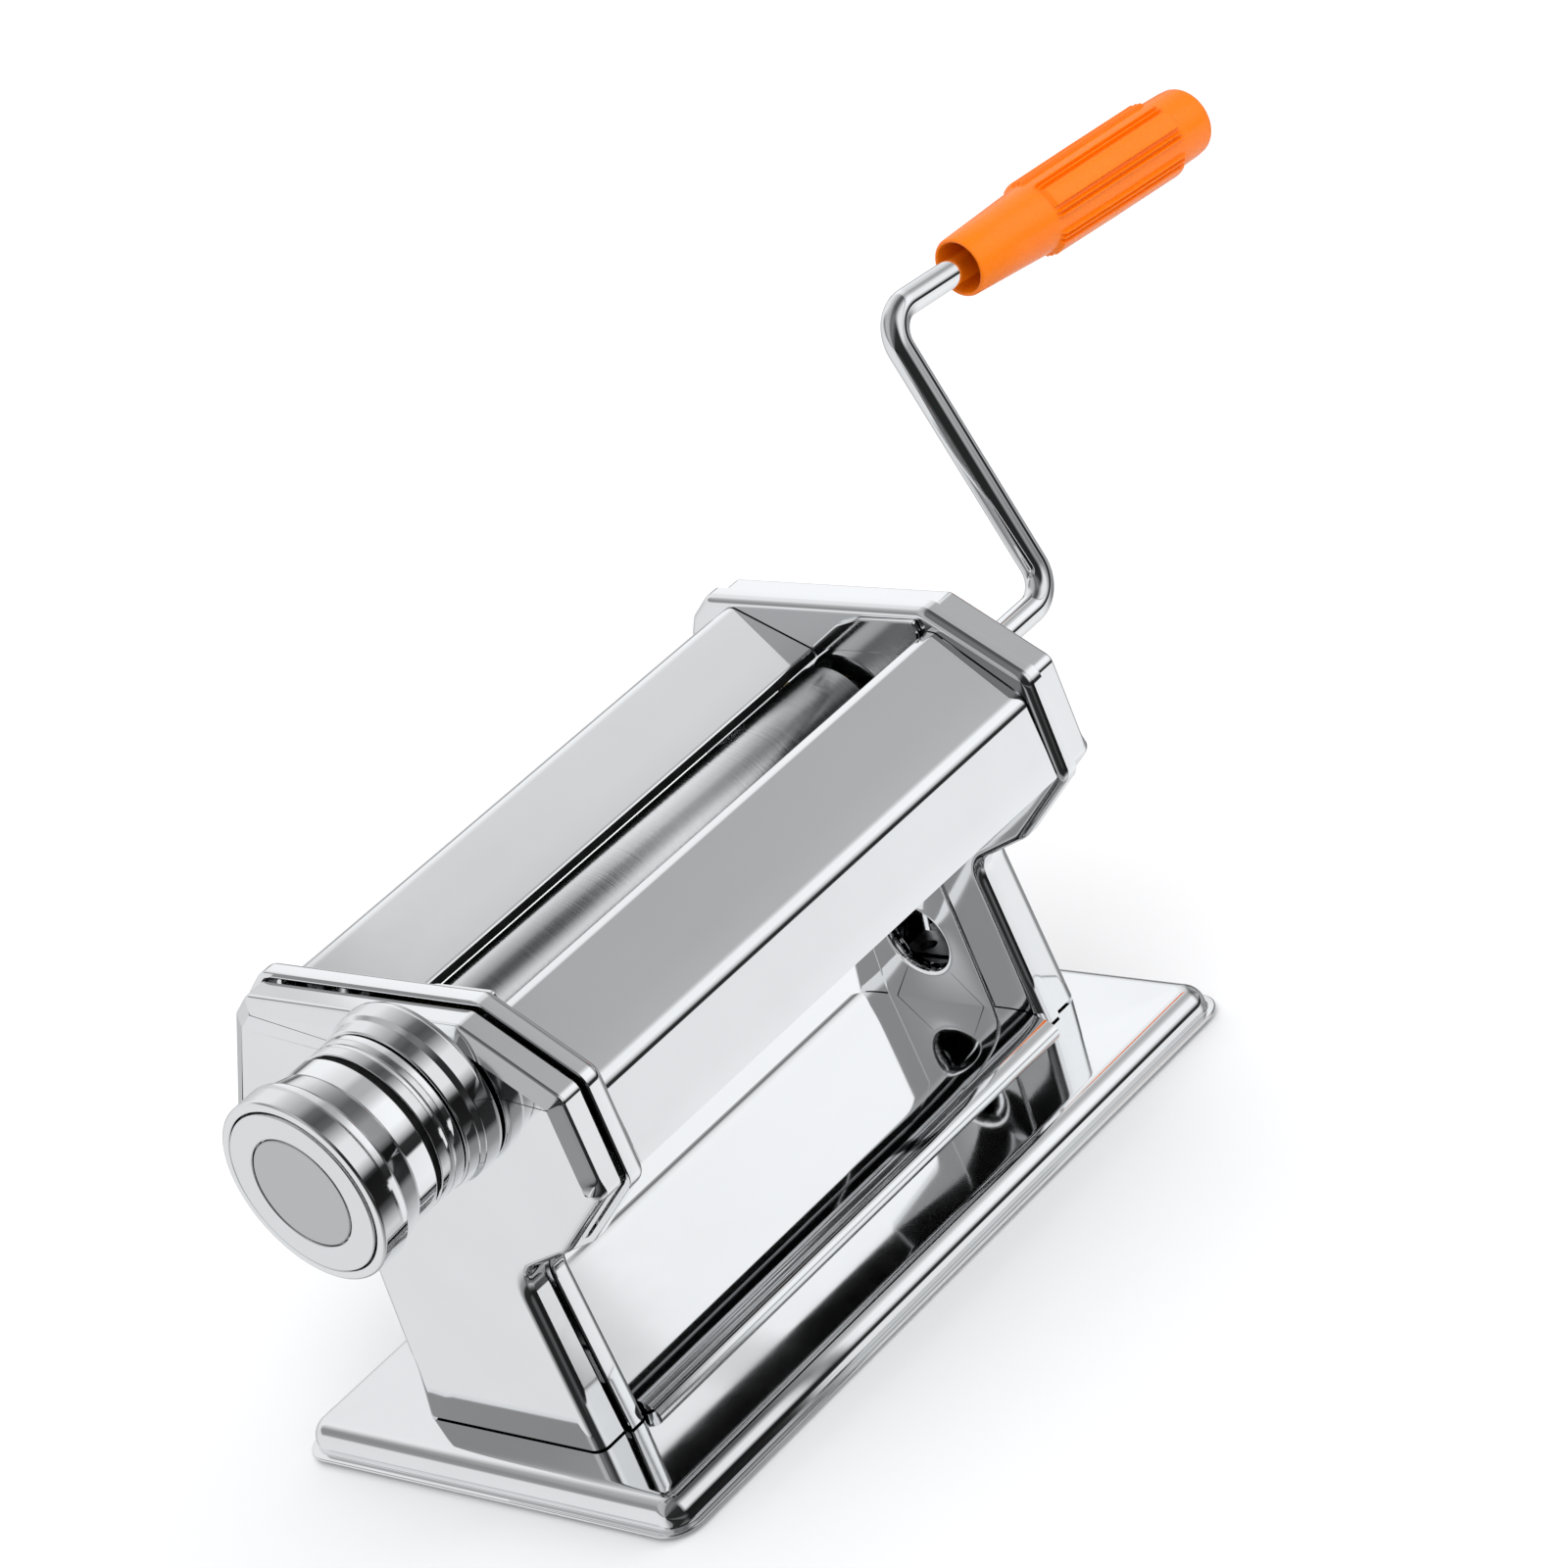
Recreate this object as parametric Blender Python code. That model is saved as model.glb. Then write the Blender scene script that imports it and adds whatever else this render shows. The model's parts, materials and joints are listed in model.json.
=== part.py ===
"""Hand-cranked pasta roller machine, as an assembly of separate pieces.

Frame: metres, +Z up.  X runs along the rollers, with the thickness dial at -X and the
crank at +X.  -Y is the front.  The sizes below are measured from the middle of the base, on
the surface that the machine stands on; the last step moves the whole machine so that the
origin is under the middle of its bounding box.
"""
import math

import bmesh
import bpy
import numpy as np
from mathutils import Matrix, Vector

MM = 0.001
GAP = 0.3                       # clearance between pieces that touch on the real machine

# ---- driving dimensions, in millimetres ------------------------------------------------
BASE_LENGTH = 205.0             # along X
BASE_WIDTH = 124.5              # along Y
BASE_FLANGE_Z = 0.8             # underside of the outer flange, held up by rubber feet
BASE_TOP_Z = 8.2                # flat top of the stamped base
BASE_SHEET = 1.2
PLATEAU_TOP_Z = 12.8            # raised middle of the base, between the two stands
PLATEAU_FLAT_Y = 20.0
PLATEAU_EDGE_Y = 34.3
BASE_SCREW_X = 82.8             # screws that hold the stands down, each side of the middle
BASE_SCREW_Y = 17.0
BASE_SCREW_HOLE = 2.3
RUBBER_FOOT_X = 88.0
RUBBER_FOOT_Y = 47.5
RUBBER_FOOT_RADIUS = 6.5

STAND_INNER_X = 74.5            # face of each stand that looks at the rollers
STAND_SPLIT_X = 80.2            # where the inner and outer shells of a stand meet
STAND_OUTER_X = 88.6            # outside of each stand
STAND_FOOT_Z = 8.5
SHELL_SHEET = 1.4
OUTER_SHELL_INSET = 1.6         # the outer shell is this much smaller all round
STAND_HOLE = (0.7, 30.5, 9.0)   # y, z and radius of the hole in the inner face
FOOT_BLOCK_X = (77.0, 85.8)
FOOT_BLOCK_HALF_Y = 23.0
FOOT_BLOCK_Z = (10.3, 16.0)
TIE_ROD_RADIUS = 3.0
TIE_ROD_AXES = {"front": (-50.0, 78.5), "rear": (36.0, 92.0)}   # y, z
TIE_ROD_HALF_LENGTH = 79.2
NUT_X = (76.3, 79.6)
NUT_RADIUS = 5.8

ROLLER_RADIUS = 11.85
ROLLER_HALF_LENGTH = 72.0
DRIVE_AXIS = (-30.0, 97.0)      # y, z of the fixed roller, turned by the crank
ADJUST_AXIS = (-6.0, 97.0)      # y, z of the roller that the dial moves
ADJUST_TRAVEL = 2.4
JOURNAL_RADIUS = 4.0
DRIVE_SOCKET_RADIUS = 5.5
DRIVE_SOCKET_END_X = 92.0
BUSH_X = (72.3, 76.2)
BUSH_RADIUS = 6.6
GEAR_TEETH = 12
GEAR_X = (80.6, 85.4)
CARRIAGE_BAR_AXIS = (11.0, 97.0)
CARRIAGE_BAR_RADIUS = 3.0
BLOCK_X = (76.3, 80.2)          # the bearing blocks slide inside the stands
BLOCK_HALF_HEIGHT = 7.5
BLOCK_BACK_Y = 16.0
SPRING_RADIUS = 1.35            # the two springs that push the adjustable roller forwards
SPRING_WIRE = 0.35
SPRING_LENGTH = 9.4
SPRING_LUG_GAP = 10.0

DIAL_AXIS = (-25.0, 106.3)      # y, z
DIAL_RADIUS = 22.6
DIAL_FRONT_X = -127.5
DIAL_BACK_X = -99.3
DIAL_TURN = math.radians(270.0)
DIAL_SHAFT_RADIUS = 3.0
DIAL_SHAFT_X = (-121.4, -76.4)
INDEX_PIN_REACH = 15.5          # from the dial's axis
CAM_X = (-80.2, -76.6)
CAM_LOW = 6.0

CRANK_ROD_RADIUS = 3.4
CRANK_ARM_X = 125.0
CRANK_ARM_LENGTH = 75.6
CRANK_LEAN = math.radians(15.8) # lean of the arm from upright, towards the back
CRANK_BEND_RADIUS = 8.0
GRIP_TILT = math.radians(5.0)   # the grip's rod dips this much from the X direction
GRIP_START = 27.5               # from the arm's centre line to the grip's open end
GRIP_LENGTH = 86.5
GRIP_RIB_END = 74.0             # along the grip, where its ribbed barrel stops
GRIP_BORE_END = 74.7            # beyond it a wider pocket holds the end washer
GRIP_POCKET_END = 79.0

# Outline of a stand seen along X: (y, z, corner radius), clockwise from the front foot.
STAND_OUTLINE = [
    (-30.4, STAND_FOOT_Z, 0.0), (-27.4, 54.0, 7.0), (-46.0, 62.0, 9.0), (-66.6, 80.0, 4.6),
    (-66.2, 106.8, 5.0), (-41.5, 123.4, 4.6), (27.5, 123.4, 4.6), (34.5, 117.5, 4.6),
    (54.0, 83.0, 5.0), (25.0, 55.5, 8.0), (27.6, 22.0, 30.0), (30.4, STAND_FOOT_Z, 0.0),
]
REAR_COVER_PATH = [(-2.5, 109.5), (-2.1, 111.0), (19.4, 121.4), (32.0, 114.6), (50.2, 83.0)]
FRONT_COVER_PATH = [(-39.6, 113.8), (-41.2, 117.9), (-43.6, 117.6), (-63.6, 101.9),
                    (-64.6, 81.4)]
REAR_COVER_RADII = (0, 0.9, 3.5, 6.0, 0)
FRONT_COVER_RADII = (0, 1.0, 1.2, 5.0, 0)
COVER_SHEET = 0.9
GUIDE_OUTLINE = [(-38.0, 112.6), (-40.2, 119.2), (-40.4, 121.6), (-22.0, 121.4),
                 (-15.0, 119.6), (-3.4, 112.6)]
GUIDE_SHEET = 1.4

SIDES = {"left": -1, "right": 1}

COLOURS = {
    "chrome": ((0.80, 0.81, 0.83), 0.08, 1.0), "steel": ((0.62, 0.63, 0.65), 0.25, 1.0),
    "satin": ((0.66, 0.67, 0.69), 0.30, 1.0), "orange": ((1.0, 0.33, 0.02), 0.30, 0.0),
    "rubber": ((0.03, 0.03, 0.03), 0.80, 0.0), "nylon": ((0.75, 0.74, 0.70), 0.45, 0.0),
    "brass": ((0.72, 0.56, 0.25), 0.30, 1.0),
}


# ---- making objects ----------------------------------------------------------------------
def material(finish, name):
    colour, roughness, metallic = COLOURS[finish]
    mat = bpy.data.materials.new(name + "_" + finish)
    mat.use_nodes = True
    shader = mat.node_tree.nodes["Principled BSDF"]
    shader.inputs["Base Color"].default_value = (*colour, 1.0)
    shader.inputs["Roughness"].default_value = roughness
    shader.inputs["Metallic"].default_value = metallic
    return mat


def add(name, mesh, finish, smooth=True):
    """Put a bmesh made in millimetres into the scene as one named piece."""
    bmesh.ops.recalc_face_normals(mesh, faces=mesh.faces)
    bmesh.ops.scale(mesh, vec=(MM, MM, MM), verts=mesh.verts)
    data = bpy.data.meshes.new(name)
    mesh.to_mesh(data)
    mesh.free()
    obj = bpy.data.objects.new(name, data)
    bpy.context.collection.objects.link(obj)
    data.materials.append(material(finish, name))
    if smooth:
        data.shade_smooth()
        data.set_sharp_from_angle(angle=math.radians(35))
    return obj


def loft(loops):
    """Close a row of rings, each with the same number of corners, into one solid."""
    mesh = bmesh.new()
    rings = [[mesh.verts.new(p) for p in ring] for ring in loops]
    for one, two in zip(rings, rings[1:]):
        for i in range(len(one)):
            j = (i + 1) % len(one)
            mesh.faces.new((one[i], one[j], two[j], two[i]))
    mesh.faces.new(rings[0])
    mesh.faces.new(rings[-1])
    return mesh


def at_x(outline, x):
    return [(x, y, z) for y, z in outline]


def prism(outline, x0, x1):
    return loft([at_x(outline, x0), at_x(outline, x1)])


def rounded(corners, steps=5):
    """Outline of (y, z) points with each corner rounded by its own radius."""
    points = []
    count = len(corners)
    for i, (y, z, radius) in enumerate(corners):
        here = Vector((y, z))
        if radius == 0.0:
            points.append((y, z))
            continue
        back = (Vector(corners[i - 1][:2]) - here).normalized()
        ahead = (Vector(corners[(i + 1) % count][:2]) - here).normalized()
        half = back.angle(ahead) / 2
        centre = here + (back + ahead).normalized() * (radius / math.sin(half))
        start = here + back * (radius / math.tan(half)) - centre
        turn = start.angle_signed(here + ahead * (radius / math.tan(half)) - centre)
        for k in range(steps + 1):
            arm = Matrix.Rotation(-turn * k / steps, 2) @ start
            points.append(tuple(centre + arm))
    return points


def offset(outline, distance):
    """Outline moved inwards by distance, for an outline that runs clockwise in y, z."""
    pts = np.array(outline)
    ahead = np.roll(pts, -1, axis=0) - pts
    ahead /= np.linalg.norm(ahead, axis=1)[:, None]
    back = np.roll(ahead, 1, axis=0)
    normal = np.stack([ahead[:, 1], -ahead[:, 0]], axis=1)
    before = np.stack([back[:, 1], -back[:, 0]], axis=1)
    middle = normal + before
    middle /= (1.0 + (normal * before).sum(axis=1))[:, None]
    return [tuple(p) for p in pts + middle * distance]


def circle(centre, radius, sides):
    angles = [2 * math.pi * (k + 0.5) / sides for k in range(sides)]
    return [(centre[0] + radius * math.cos(a), centre[1] + radius * math.sin(a)) for a in angles]


def turned(axis, stations, sides):
    """Solid turned about a line along X: stations are (x, radius), in a closed or open row.

    A row that starts at radius 0 is a solid bar; any other row is taken as a closed
    section, which makes a ring, or a cup where it touches the axis on the way.
    """
    mesh = bmesh.new()
    rings = []
    for x, radius in stations:
        if radius == 0.0:
            rings.append([mesh.verts.new((x, *axis))])
        else:
            rings.append([mesh.verts.new(p) for p in at_x(circle(axis, radius, sides), x)])
    pairs = list(zip(rings, rings[1:]))
    if stations[0][1] != 0.0:
        pairs.append((rings[-1], rings[0]))
    for one, two in pairs:
        for i in range(sides):
            j = (i + 1) % sides
            corners = dict.fromkeys([one[i % len(one)], one[j % len(one)],
                                     two[j % len(two)], two[i % len(two)]])
            if len(corners) > 2:
                mesh.faces.new(list(corners))
    return mesh


def bar(axis, x0, x1, radius, sides=24):
    return turned(axis, [(x0, 0.0), (x0, radius), (x1, radius), (x1, 0.0)], sides)


def ring(axis, x0, x1, inner, outer, sides=32):
    return turned(axis, [(x0, inner), (x0, outer), (x1, outer), (x1, inner)], sides)


def ribbon(path, thickness):
    """Closed (y, z) outline of a sheet of the given thickness, centred on a path."""
    pts = np.array(path)
    ahead = np.diff(pts, axis=0)
    ahead /= np.linalg.norm(ahead, axis=1)[:, None]
    normal = np.stack([-ahead[:, 1], ahead[:, 0]], axis=1)
    first = np.vstack([normal[:1], normal])
    second = np.vstack([normal, normal[-1:]])
    middle = first + second
    middle /= (1.0 + (first * second).sum(axis=1))[:, None]
    half = middle * thickness / 2
    return [tuple(p) for p in pts + half] + [tuple(p) for p in (pts - half)[::-1]]


def folded_sheet(path, radii, thickness):
    """Outline of a sheet along a path with its inner corners rounded."""
    corners = [(*point, radius) for point, radius in zip(path, radii)]
    return ribbon(rounded(corners), thickness)


def cut(obj, tools):
    """Take the tool meshes, in millimetres, out of an object."""
    for mesh in tools:
        cutter = add("cutter_for_" + obj.name, mesh, "steel", smooth=False)
        cutter.hide_render = True
        cutter.display_type = "WIRE"
        step = obj.modifiers.new("cut", "BOOLEAN")
        step.operation = "DIFFERENCE"
        step.object = cutter


def mirrored(side, x0, x1):
    """Turn a pair of distances from the middle into a low and a high x on one side."""
    return (x0, x1) if side > 0 else (-x1, -x0)


# ---- base --------------------------------------------------------------------------------
def base_ring(half_x, half_y, z, radius, steps=6):
    corners = [(half_x, half_y), (-half_x, half_y), (-half_x, -half_y), (half_x, -half_y)]
    points = []
    for k, (x, y) in enumerate(corners):
        for i in range(steps + 1):
            angle = math.pi / 2 * (k + i / steps)
            points.append((x + radius * (math.cos(angle) - math.copysign(1, x)),
                           y + radius * (math.sin(angle) - math.copysign(1, y)), z))
    return points


def base_plate():
    """Stamped tray: flat flange, rounded wall, flat top and a raised middle."""
    half_x = BASE_LENGTH / 2
    half_y = BASE_WIDTH / 2
    low = BASE_FLANGE_Z
    outside = [(0.0, low, 8.0), (0.0, low + 1.0, 8.0), (1.9, low + 1.0, 7.0),
               (2.3, low + 3.6, 7.0), (3.6, low + 6.2, 7.0), (5.8, BASE_TOP_Z, 7.0)]
    inside = [(6.4, BASE_TOP_Z - BASE_SHEET, 6.0), (4.8, low + 5.4, 6.0),
              (3.5, low + 3.2, 6.0), (3.1, low, 6.0)]
    rings = [base_ring(half_x - inset, half_y - inset, z, radius)
             for inset, z, radius in inside + outside]
    tray = add("base_plate", loft(rings), "chrome")
    shoulder = []
    for k in range(9):
        angle = math.pi / 2 * k / 8
        shoulder.append((PLATEAU_FLAT_Y + (PLATEAU_EDGE_Y - PLATEAU_FLAT_Y) * math.cos(angle),
                         BASE_TOP_Z + (PLATEAU_TOP_Z - BASE_TOP_Z) * math.sin(angle)))
    outline = shoulder + [(-y, z) for y, z in reversed(shoulder)]
    floor = BASE_TOP_Z - 0.6
    outline += [(-PLATEAU_EDGE_Y, floor), (PLATEAU_EDGE_Y, floor)]
    reach = STAND_INNER_X - GAP
    raised = add("cutter_plateau", prism(outline, -reach, reach), "chrome", smooth=False)
    raised.hide_render = True
    raised.display_type = "WIRE"
    joined = tray.modifiers.new("plateau", "BOOLEAN")
    joined.operation = "UNION"
    joined.object = raised
    cut(tray, [upright_bar(x, y, 0.0, BASE_TOP_Z + 2, BASE_SCREW_HOLE)
               for x, y in base_screw_places()])


def stand_up(mesh, x, y):
    """Turn a solid made along X so that it runs along Z, and move it to x, y."""
    bmesh.ops.rotate(mesh, cent=(0, 0, 0), matrix=Matrix.Rotation(-math.pi / 2, 3, "Y"),
                     verts=mesh.verts)
    bmesh.ops.translate(mesh, vec=(x, y, 0), verts=mesh.verts)
    return mesh


def upright_bar(x, y, z0, z1, radius, sides=16):
    return stand_up(bar((0.0, 0.0), z0, z1, radius, sides), x, y)


def base_screw_places():
    return [(sx * BASE_SCREW_X, sy * BASE_SCREW_Y) for sx in (-1, 1) for sy in (-1, 1)]


def base_screw(name, x, y):
    """Pan-head screw that comes up through the base into the stand's foot block."""
    rows = [(4.2, 0.0), (4.2, 3.0), (5.0, 3.8), (6.6, 3.8), (6.6, 1.9), (14.2, 1.9), (14.2, 0.0)]
    add(name, stand_up(turned((0.0, 0.0), rows, 16), x, y), "steel")


def base():
    base_plate()
    for i, (x, y) in enumerate(base_screw_places()):
        base_screw(f"base_screw_{i + 1}", x, y)
    for i, (sx, sy) in enumerate([(-1, -1), (1, -1), (-1, 1), (1, 1)]):
        foot = upright_bar(sx * RUBBER_FOOT_X, sy * RUBBER_FOOT_Y, 0.0,
                           BASE_TOP_Z - BASE_SHEET - GAP, RUBBER_FOOT_RADIUS, 20)
        add(f"rubber_foot_{i + 1}", foot, "rubber")


# ---- stands ------------------------------------------------------------------------------
def inner_shell(side_name):
    """Pressed shell that faces the rollers, open towards the outside."""
    side = SIDES[side_name]
    outline = rounded(STAND_OUTLINE)
    rim = STAND_SPLIT_X - GAP
    rings = [at_x(offset(outline, SHELL_SHEET + 0.6), side * (STAND_INNER_X + SHELL_SHEET)),
             at_x(offset(outline, SHELL_SHEET), side * (STAND_INNER_X + SHELL_SHEET + 0.6)),
             at_x(offset(outline, SHELL_SHEET), side * rim),
             at_x(outline, side * rim),
             at_x(outline, side * (STAND_INNER_X + 1.6)),
             at_x(offset(outline, 0.5), side * (STAND_INNER_X + 0.5)),
             at_x(offset(outline, 1.6), side * STAND_INNER_X)]
    shell = add("stand_inner_" + side_name, loft(rings), "chrome")
    x0, x1 = mirrored(side, STAND_INNER_X - 2, STAND_INNER_X + 3)
    slot_low = ADJUST_AXIS[0] - JOURNAL_RADIUS - 0.8
    slot_high = CARRIAGE_BAR_AXIS[0] + CARRIAGE_BAR_RADIUS + ADJUST_TRAVEL + 0.8
    half = JOURNAL_RADIUS + 0.6
    z = ADJUST_AXIS[1]
    slot = [(slot_low, z - half), (slot_high, z - half), (slot_high, z + half),
            (slot_low, z + half)]
    holes = [bar(DRIVE_AXIS, x0, x1, BUSH_RADIUS + GAP, 24), prism(slot, x0, x1),
             bar(STAND_HOLE[:2], x0, x1, STAND_HOLE[2], 32)]
    holes += [bar(axis, x0, x1, TIE_ROD_RADIUS + GAP, 16) for axis in TIE_ROD_AXES.values()]
    cut(shell, holes)


def outer_shell(side_name):
    """Pressed cover that closes the stand, with a bevelled edge."""
    side = SIDES[side_name]
    outline = offset(rounded(STAND_OUTLINE), OUTER_SHELL_INSET)
    low = STAND_FOOT_Z
    outline = [(y, low if z < low + 2.0 else z) for y, z in outline]
    inner = offset(outline, SHELL_SHEET)
    face = STAND_OUTER_X
    rings = [at_x(inner, side * (face - SHELL_SHEET)), at_x(inner, side * STAND_SPLIT_X),
             at_x(outline, side * STAND_SPLIT_X), at_x(outline, side * (face - 2.0)),
             at_x(offset(outline, 0.6), side * (face - 0.6)),
             at_x(offset(outline, 2.0), side * face)]
    shell = add("stand_outer_" + side_name, loft(rings), "chrome")
    x0, x1 = mirrored(side, face - 4, face + 3)
    holes = [bar(DIAL_AXIS, x0, x1, 3.4, 20) if side < 0 else bar(DRIVE_AXIS, x0, x1, 8.3, 32)]
    holes += [upright_bar(x, y, low - 2, low + 4, BASE_SCREW_HOLE)
              for x, y in base_screw_places() if x * side > 0]
    cut(shell, holes)


def foot_block(side_name):
    """Threaded bar inside the foot of a stand, which the base screws pull down."""
    side = SIDES[side_name]
    x0, x1 = mirrored(side, *FOOT_BLOCK_X)
    half, (low, high) = FOOT_BLOCK_HALF_Y, FOOT_BLOCK_Z
    outline = [(-half, low), (-half, high), (half, high), (half, low)]
    block = add("foot_block_" + side_name, prism(outline, x0, x1), "steel", smooth=False)
    places = [p for p in base_screw_places() if p[0] * side > 0]
    cut(block, [upright_bar(x, y, low - 5, high + 4, BASE_SCREW_HOLE) for x, y in places])


def tie_rods():
    """Two rods hold the stands apart and together, with a nut on each end."""
    for name, axis in TIE_ROD_AXES.items():
        half = TIE_ROD_HALF_LENGTH
        add("tie_rod_" + name, bar(axis, -half, half, TIE_ROD_RADIUS, 16), "steel")
        for side_name, side in SIDES.items():
            x0, x1 = mirrored(side, *NUT_X)
            bore = (TIE_ROD_RADIUS + GAP) / math.cos(math.pi / 6)
            nut = ring(axis, x0, x1, bore, NUT_RADIUS, 6)
            add(f"tie_rod_nut_{name}_{side_name}", nut, "steel", smooth=False)


def stands():
    for side_name in SIDES:
        inner_shell(side_name)
        outer_shell(side_name)
        foot_block(side_name)
    tie_rods()


# ---- covers ------------------------------------------------------------------------------
def covers():
    reach = STAND_INNER_X - GAP
    rear = folded_sheet(REAR_COVER_PATH, REAR_COVER_RADII, COVER_SHEET)
    add("rear_cover", prism(rear, -reach, reach), "chrome")
    front = folded_sheet(FRONT_COVER_PATH, FRONT_COVER_RADII, COVER_SHEET)
    add("front_cover", prism(front, -reach, reach), "chrome")
    for side_name, side in SIDES.items():
        x0, x1 = mirrored(side, reach - GUIDE_SHEET, reach)
        add("dough_guide_" + side_name, prism(GUIDE_OUTLINE, x0, x1), "chrome", smooth=False)


# ---- rollers -----------------------------------------------------------------------------
def drive_roller():
    """Fixed roller: its right-hand end is a socket for the crank."""
    half = ROLLER_HALF_LENGTH
    rows = [(-76.2, 0.0), (-76.2, JOURNAL_RADIUS), (-half, JOURNAL_RADIUS),
            (-half, ROLLER_RADIUS - 0.5), (-half + 0.5, ROLLER_RADIUS),
            (half - 0.5, ROLLER_RADIUS), (half, ROLLER_RADIUS - 0.5),
            (half, DRIVE_SOCKET_RADIUS), (DRIVE_SOCKET_END_X, DRIVE_SOCKET_RADIUS),
            (DRIVE_SOCKET_END_X, CRANK_ROD_RADIUS + GAP), (78.0, CRANK_ROD_RADIUS + GAP),
            (78.0, 0.0)]
    add("drive_roller", turned(DRIVE_AXIS, rows, 40), "steel")
    for side_name, journal in (("left", JOURNAL_RADIUS), ("right", DRIVE_SOCKET_RADIUS)):
        x0, x1 = mirrored(SIDES[side_name], *BUSH_X)
        bush = ring(DRIVE_AXIS, x0, x1, journal + GAP, BUSH_RADIUS)
        add("drive_bush_" + side_name, bush, "nylon")
    crank_bush = [(86.9, DRIVE_SOCKET_RADIUS + GAP), (86.9, 8.0), (88.9, 8.0), (88.9, 9.4),
                  (90.4, 9.4), (90.4, DRIVE_SOCKET_RADIUS + GAP)]
    add("crank_bush", turned(DRIVE_AXIS, crank_bush, 32), "nylon")


def adjust_roller():
    half = ROLLER_HALF_LENGTH
    rows = [(-80.0, 0.0), (-80.0, JOURNAL_RADIUS), (-half, JOURNAL_RADIUS),
            (-half, ROLLER_RADIUS - 0.5), (-half + 0.5, ROLLER_RADIUS),
            (half - 0.5, ROLLER_RADIUS), (half, ROLLER_RADIUS - 0.5),
            (half, JOURNAL_RADIUS), (85.6, JOURNAL_RADIUS), (85.6, 0.0)]
    add("adjust_roller", turned(ADJUST_AXIS, rows, 40), "steel")


def gear_outline(axis, teeth, phase, module=2.0, pressure=math.radians(25)):
    """Involute outline: a tooth flank is the path of a taut thread's end as it unwinds."""
    pitch = module * teeth / 2
    base = pitch * math.cos(pressure)
    tip = pitch + 0.78 * module
    root = pitch - 1.15 * module
    play = 0.30 / pitch
    half_tooth = math.pi / (2 * teeth) - play + math.tan(pressure) - pressure
    radii = [base + (tip - base) * k / 4 for k in range(5)]
    flank = []
    for radius in radii:
        roll = math.acos(min(1.0, base / radius))
        flank.append((radius, half_tooth - (math.tan(roll) - roll)))
    points = []
    for k in range(teeth):
        middle = phase + 2 * math.pi * k / teeth
        side = [(root, half_tooth)] + flank
        for radius, angle in side:
            points.append((radius, middle - angle))
        for radius, angle in reversed(side):
            points.append((radius, middle + angle))
    return [(axis[0] + r * math.cos(a), axis[1] + r * math.sin(a)) for r, a in points]


def roller_gears():
    """Equal gears make the two rollers turn at one speed, opposite ways."""
    half_step = math.pi / GEAR_TEETH
    for name, axis, phase, bore in (
            ("drive_gear", DRIVE_AXIS, 0.0, DRIVE_SOCKET_RADIUS),
            ("adjust_gear", ADJUST_AXIS, half_step, JOURNAL_RADIUS)):
        gear = add(name, prism(gear_outline(axis, GEAR_TEETH, phase), *GEAR_X), "steel", False)
        cut(gear, [bar(axis, GEAR_X[0] - 1, GEAR_X[1] + 1, bore + GAP, 24)])


# ---- carriage of the adjustable roller -----------------------------------------------------
def bearing_block(side_name):
    """Block that holds one end of the adjustable roller; the left one follows the cam."""
    side = SIDES[side_name]
    y, z = ADJUST_AXIS
    half = BLOCK_HALF_HEIGHT
    outline = [(y - half, z - half), (y - half, z + half)]
    if side < 0:
        face = DIAL_AXIS[0] + CAM_LOW + GAP
        outline += [(face, DIAL_AXIS[1] - 1.6), (face, DIAL_AXIS[1] + 2.6)]
        outline += [(y - 4.0, DIAL_AXIS[1] + 2.6)]
    outline += [(BLOCK_BACK_Y, z + half), (BLOCK_BACK_Y, z - half)]
    x0, x1 = mirrored(side, *BLOCK_X)
    block = add("bearing_block_" + side_name, prism(outline, x0, x1), "brass", smooth=False)
    cut(block, [bar(ADJUST_AXIS, x0 - 1, x1 + 1, JOURNAL_RADIUS + GAP, 24),
                bar(CARRIAGE_BAR_AXIS, x0 - 1, x1 + 1, CARRIAGE_BAR_RADIUS + GAP, 20)])


def spring(name, start, axis, length, radius, wire, turns):
    """Coil spring: a round wire carried along a helix about a line through start."""
    along = Vector(axis)
    across = along.orthogonal().normalized()
    other = along.cross(across)
    steps = int(turns * 12)
    loops = []
    pitch = (length - 2 * wire) / steps
    for k in range(steps + 1):
        angle = 2 * math.pi * k / 12
        out = across * math.cos(angle) + other * math.sin(angle)
        centre = Vector(start) + along * (wire + pitch * k) + out * radius
        loops.append([centre + out * (wire * math.cos(a)) + along * (wire * math.sin(a))
                      for a in (2 * math.pi * j / 6 for j in range(6))])
    add(name, loft(loops), "steel")


def carriage():
    for side_name in SIDES:
        bearing_block(side_name)
    add("carriage_bar", bar(CARRIAGE_BAR_AXIS, -80.0, 80.0, CARRIAGE_BAR_RADIUS, 16), "steel")
    z = ADJUST_AXIS[1]
    for side_name, side in SIDES.items():
        x0, x1 = mirrored(side, *BLOCK_X)
        start = ((x0 + x1) / 2, BLOCK_BACK_Y + GAP, z)
        spring("return_spring_" + side_name, start, (0, 1, 0), SPRING_LENGTH, SPRING_RADIUS,
               SPRING_WIRE, 5)
        y0 = BLOCK_BACK_Y + SPRING_LUG_GAP
        y1 = y0 + 3.0
        lug = [(y0, z - 5), (y0, z + 5), (y1, z + 5), (y1, z - 5)]
        add("spring_lug_" + side_name, prism(lug, x0, x1), "steel", smooth=False)


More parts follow.
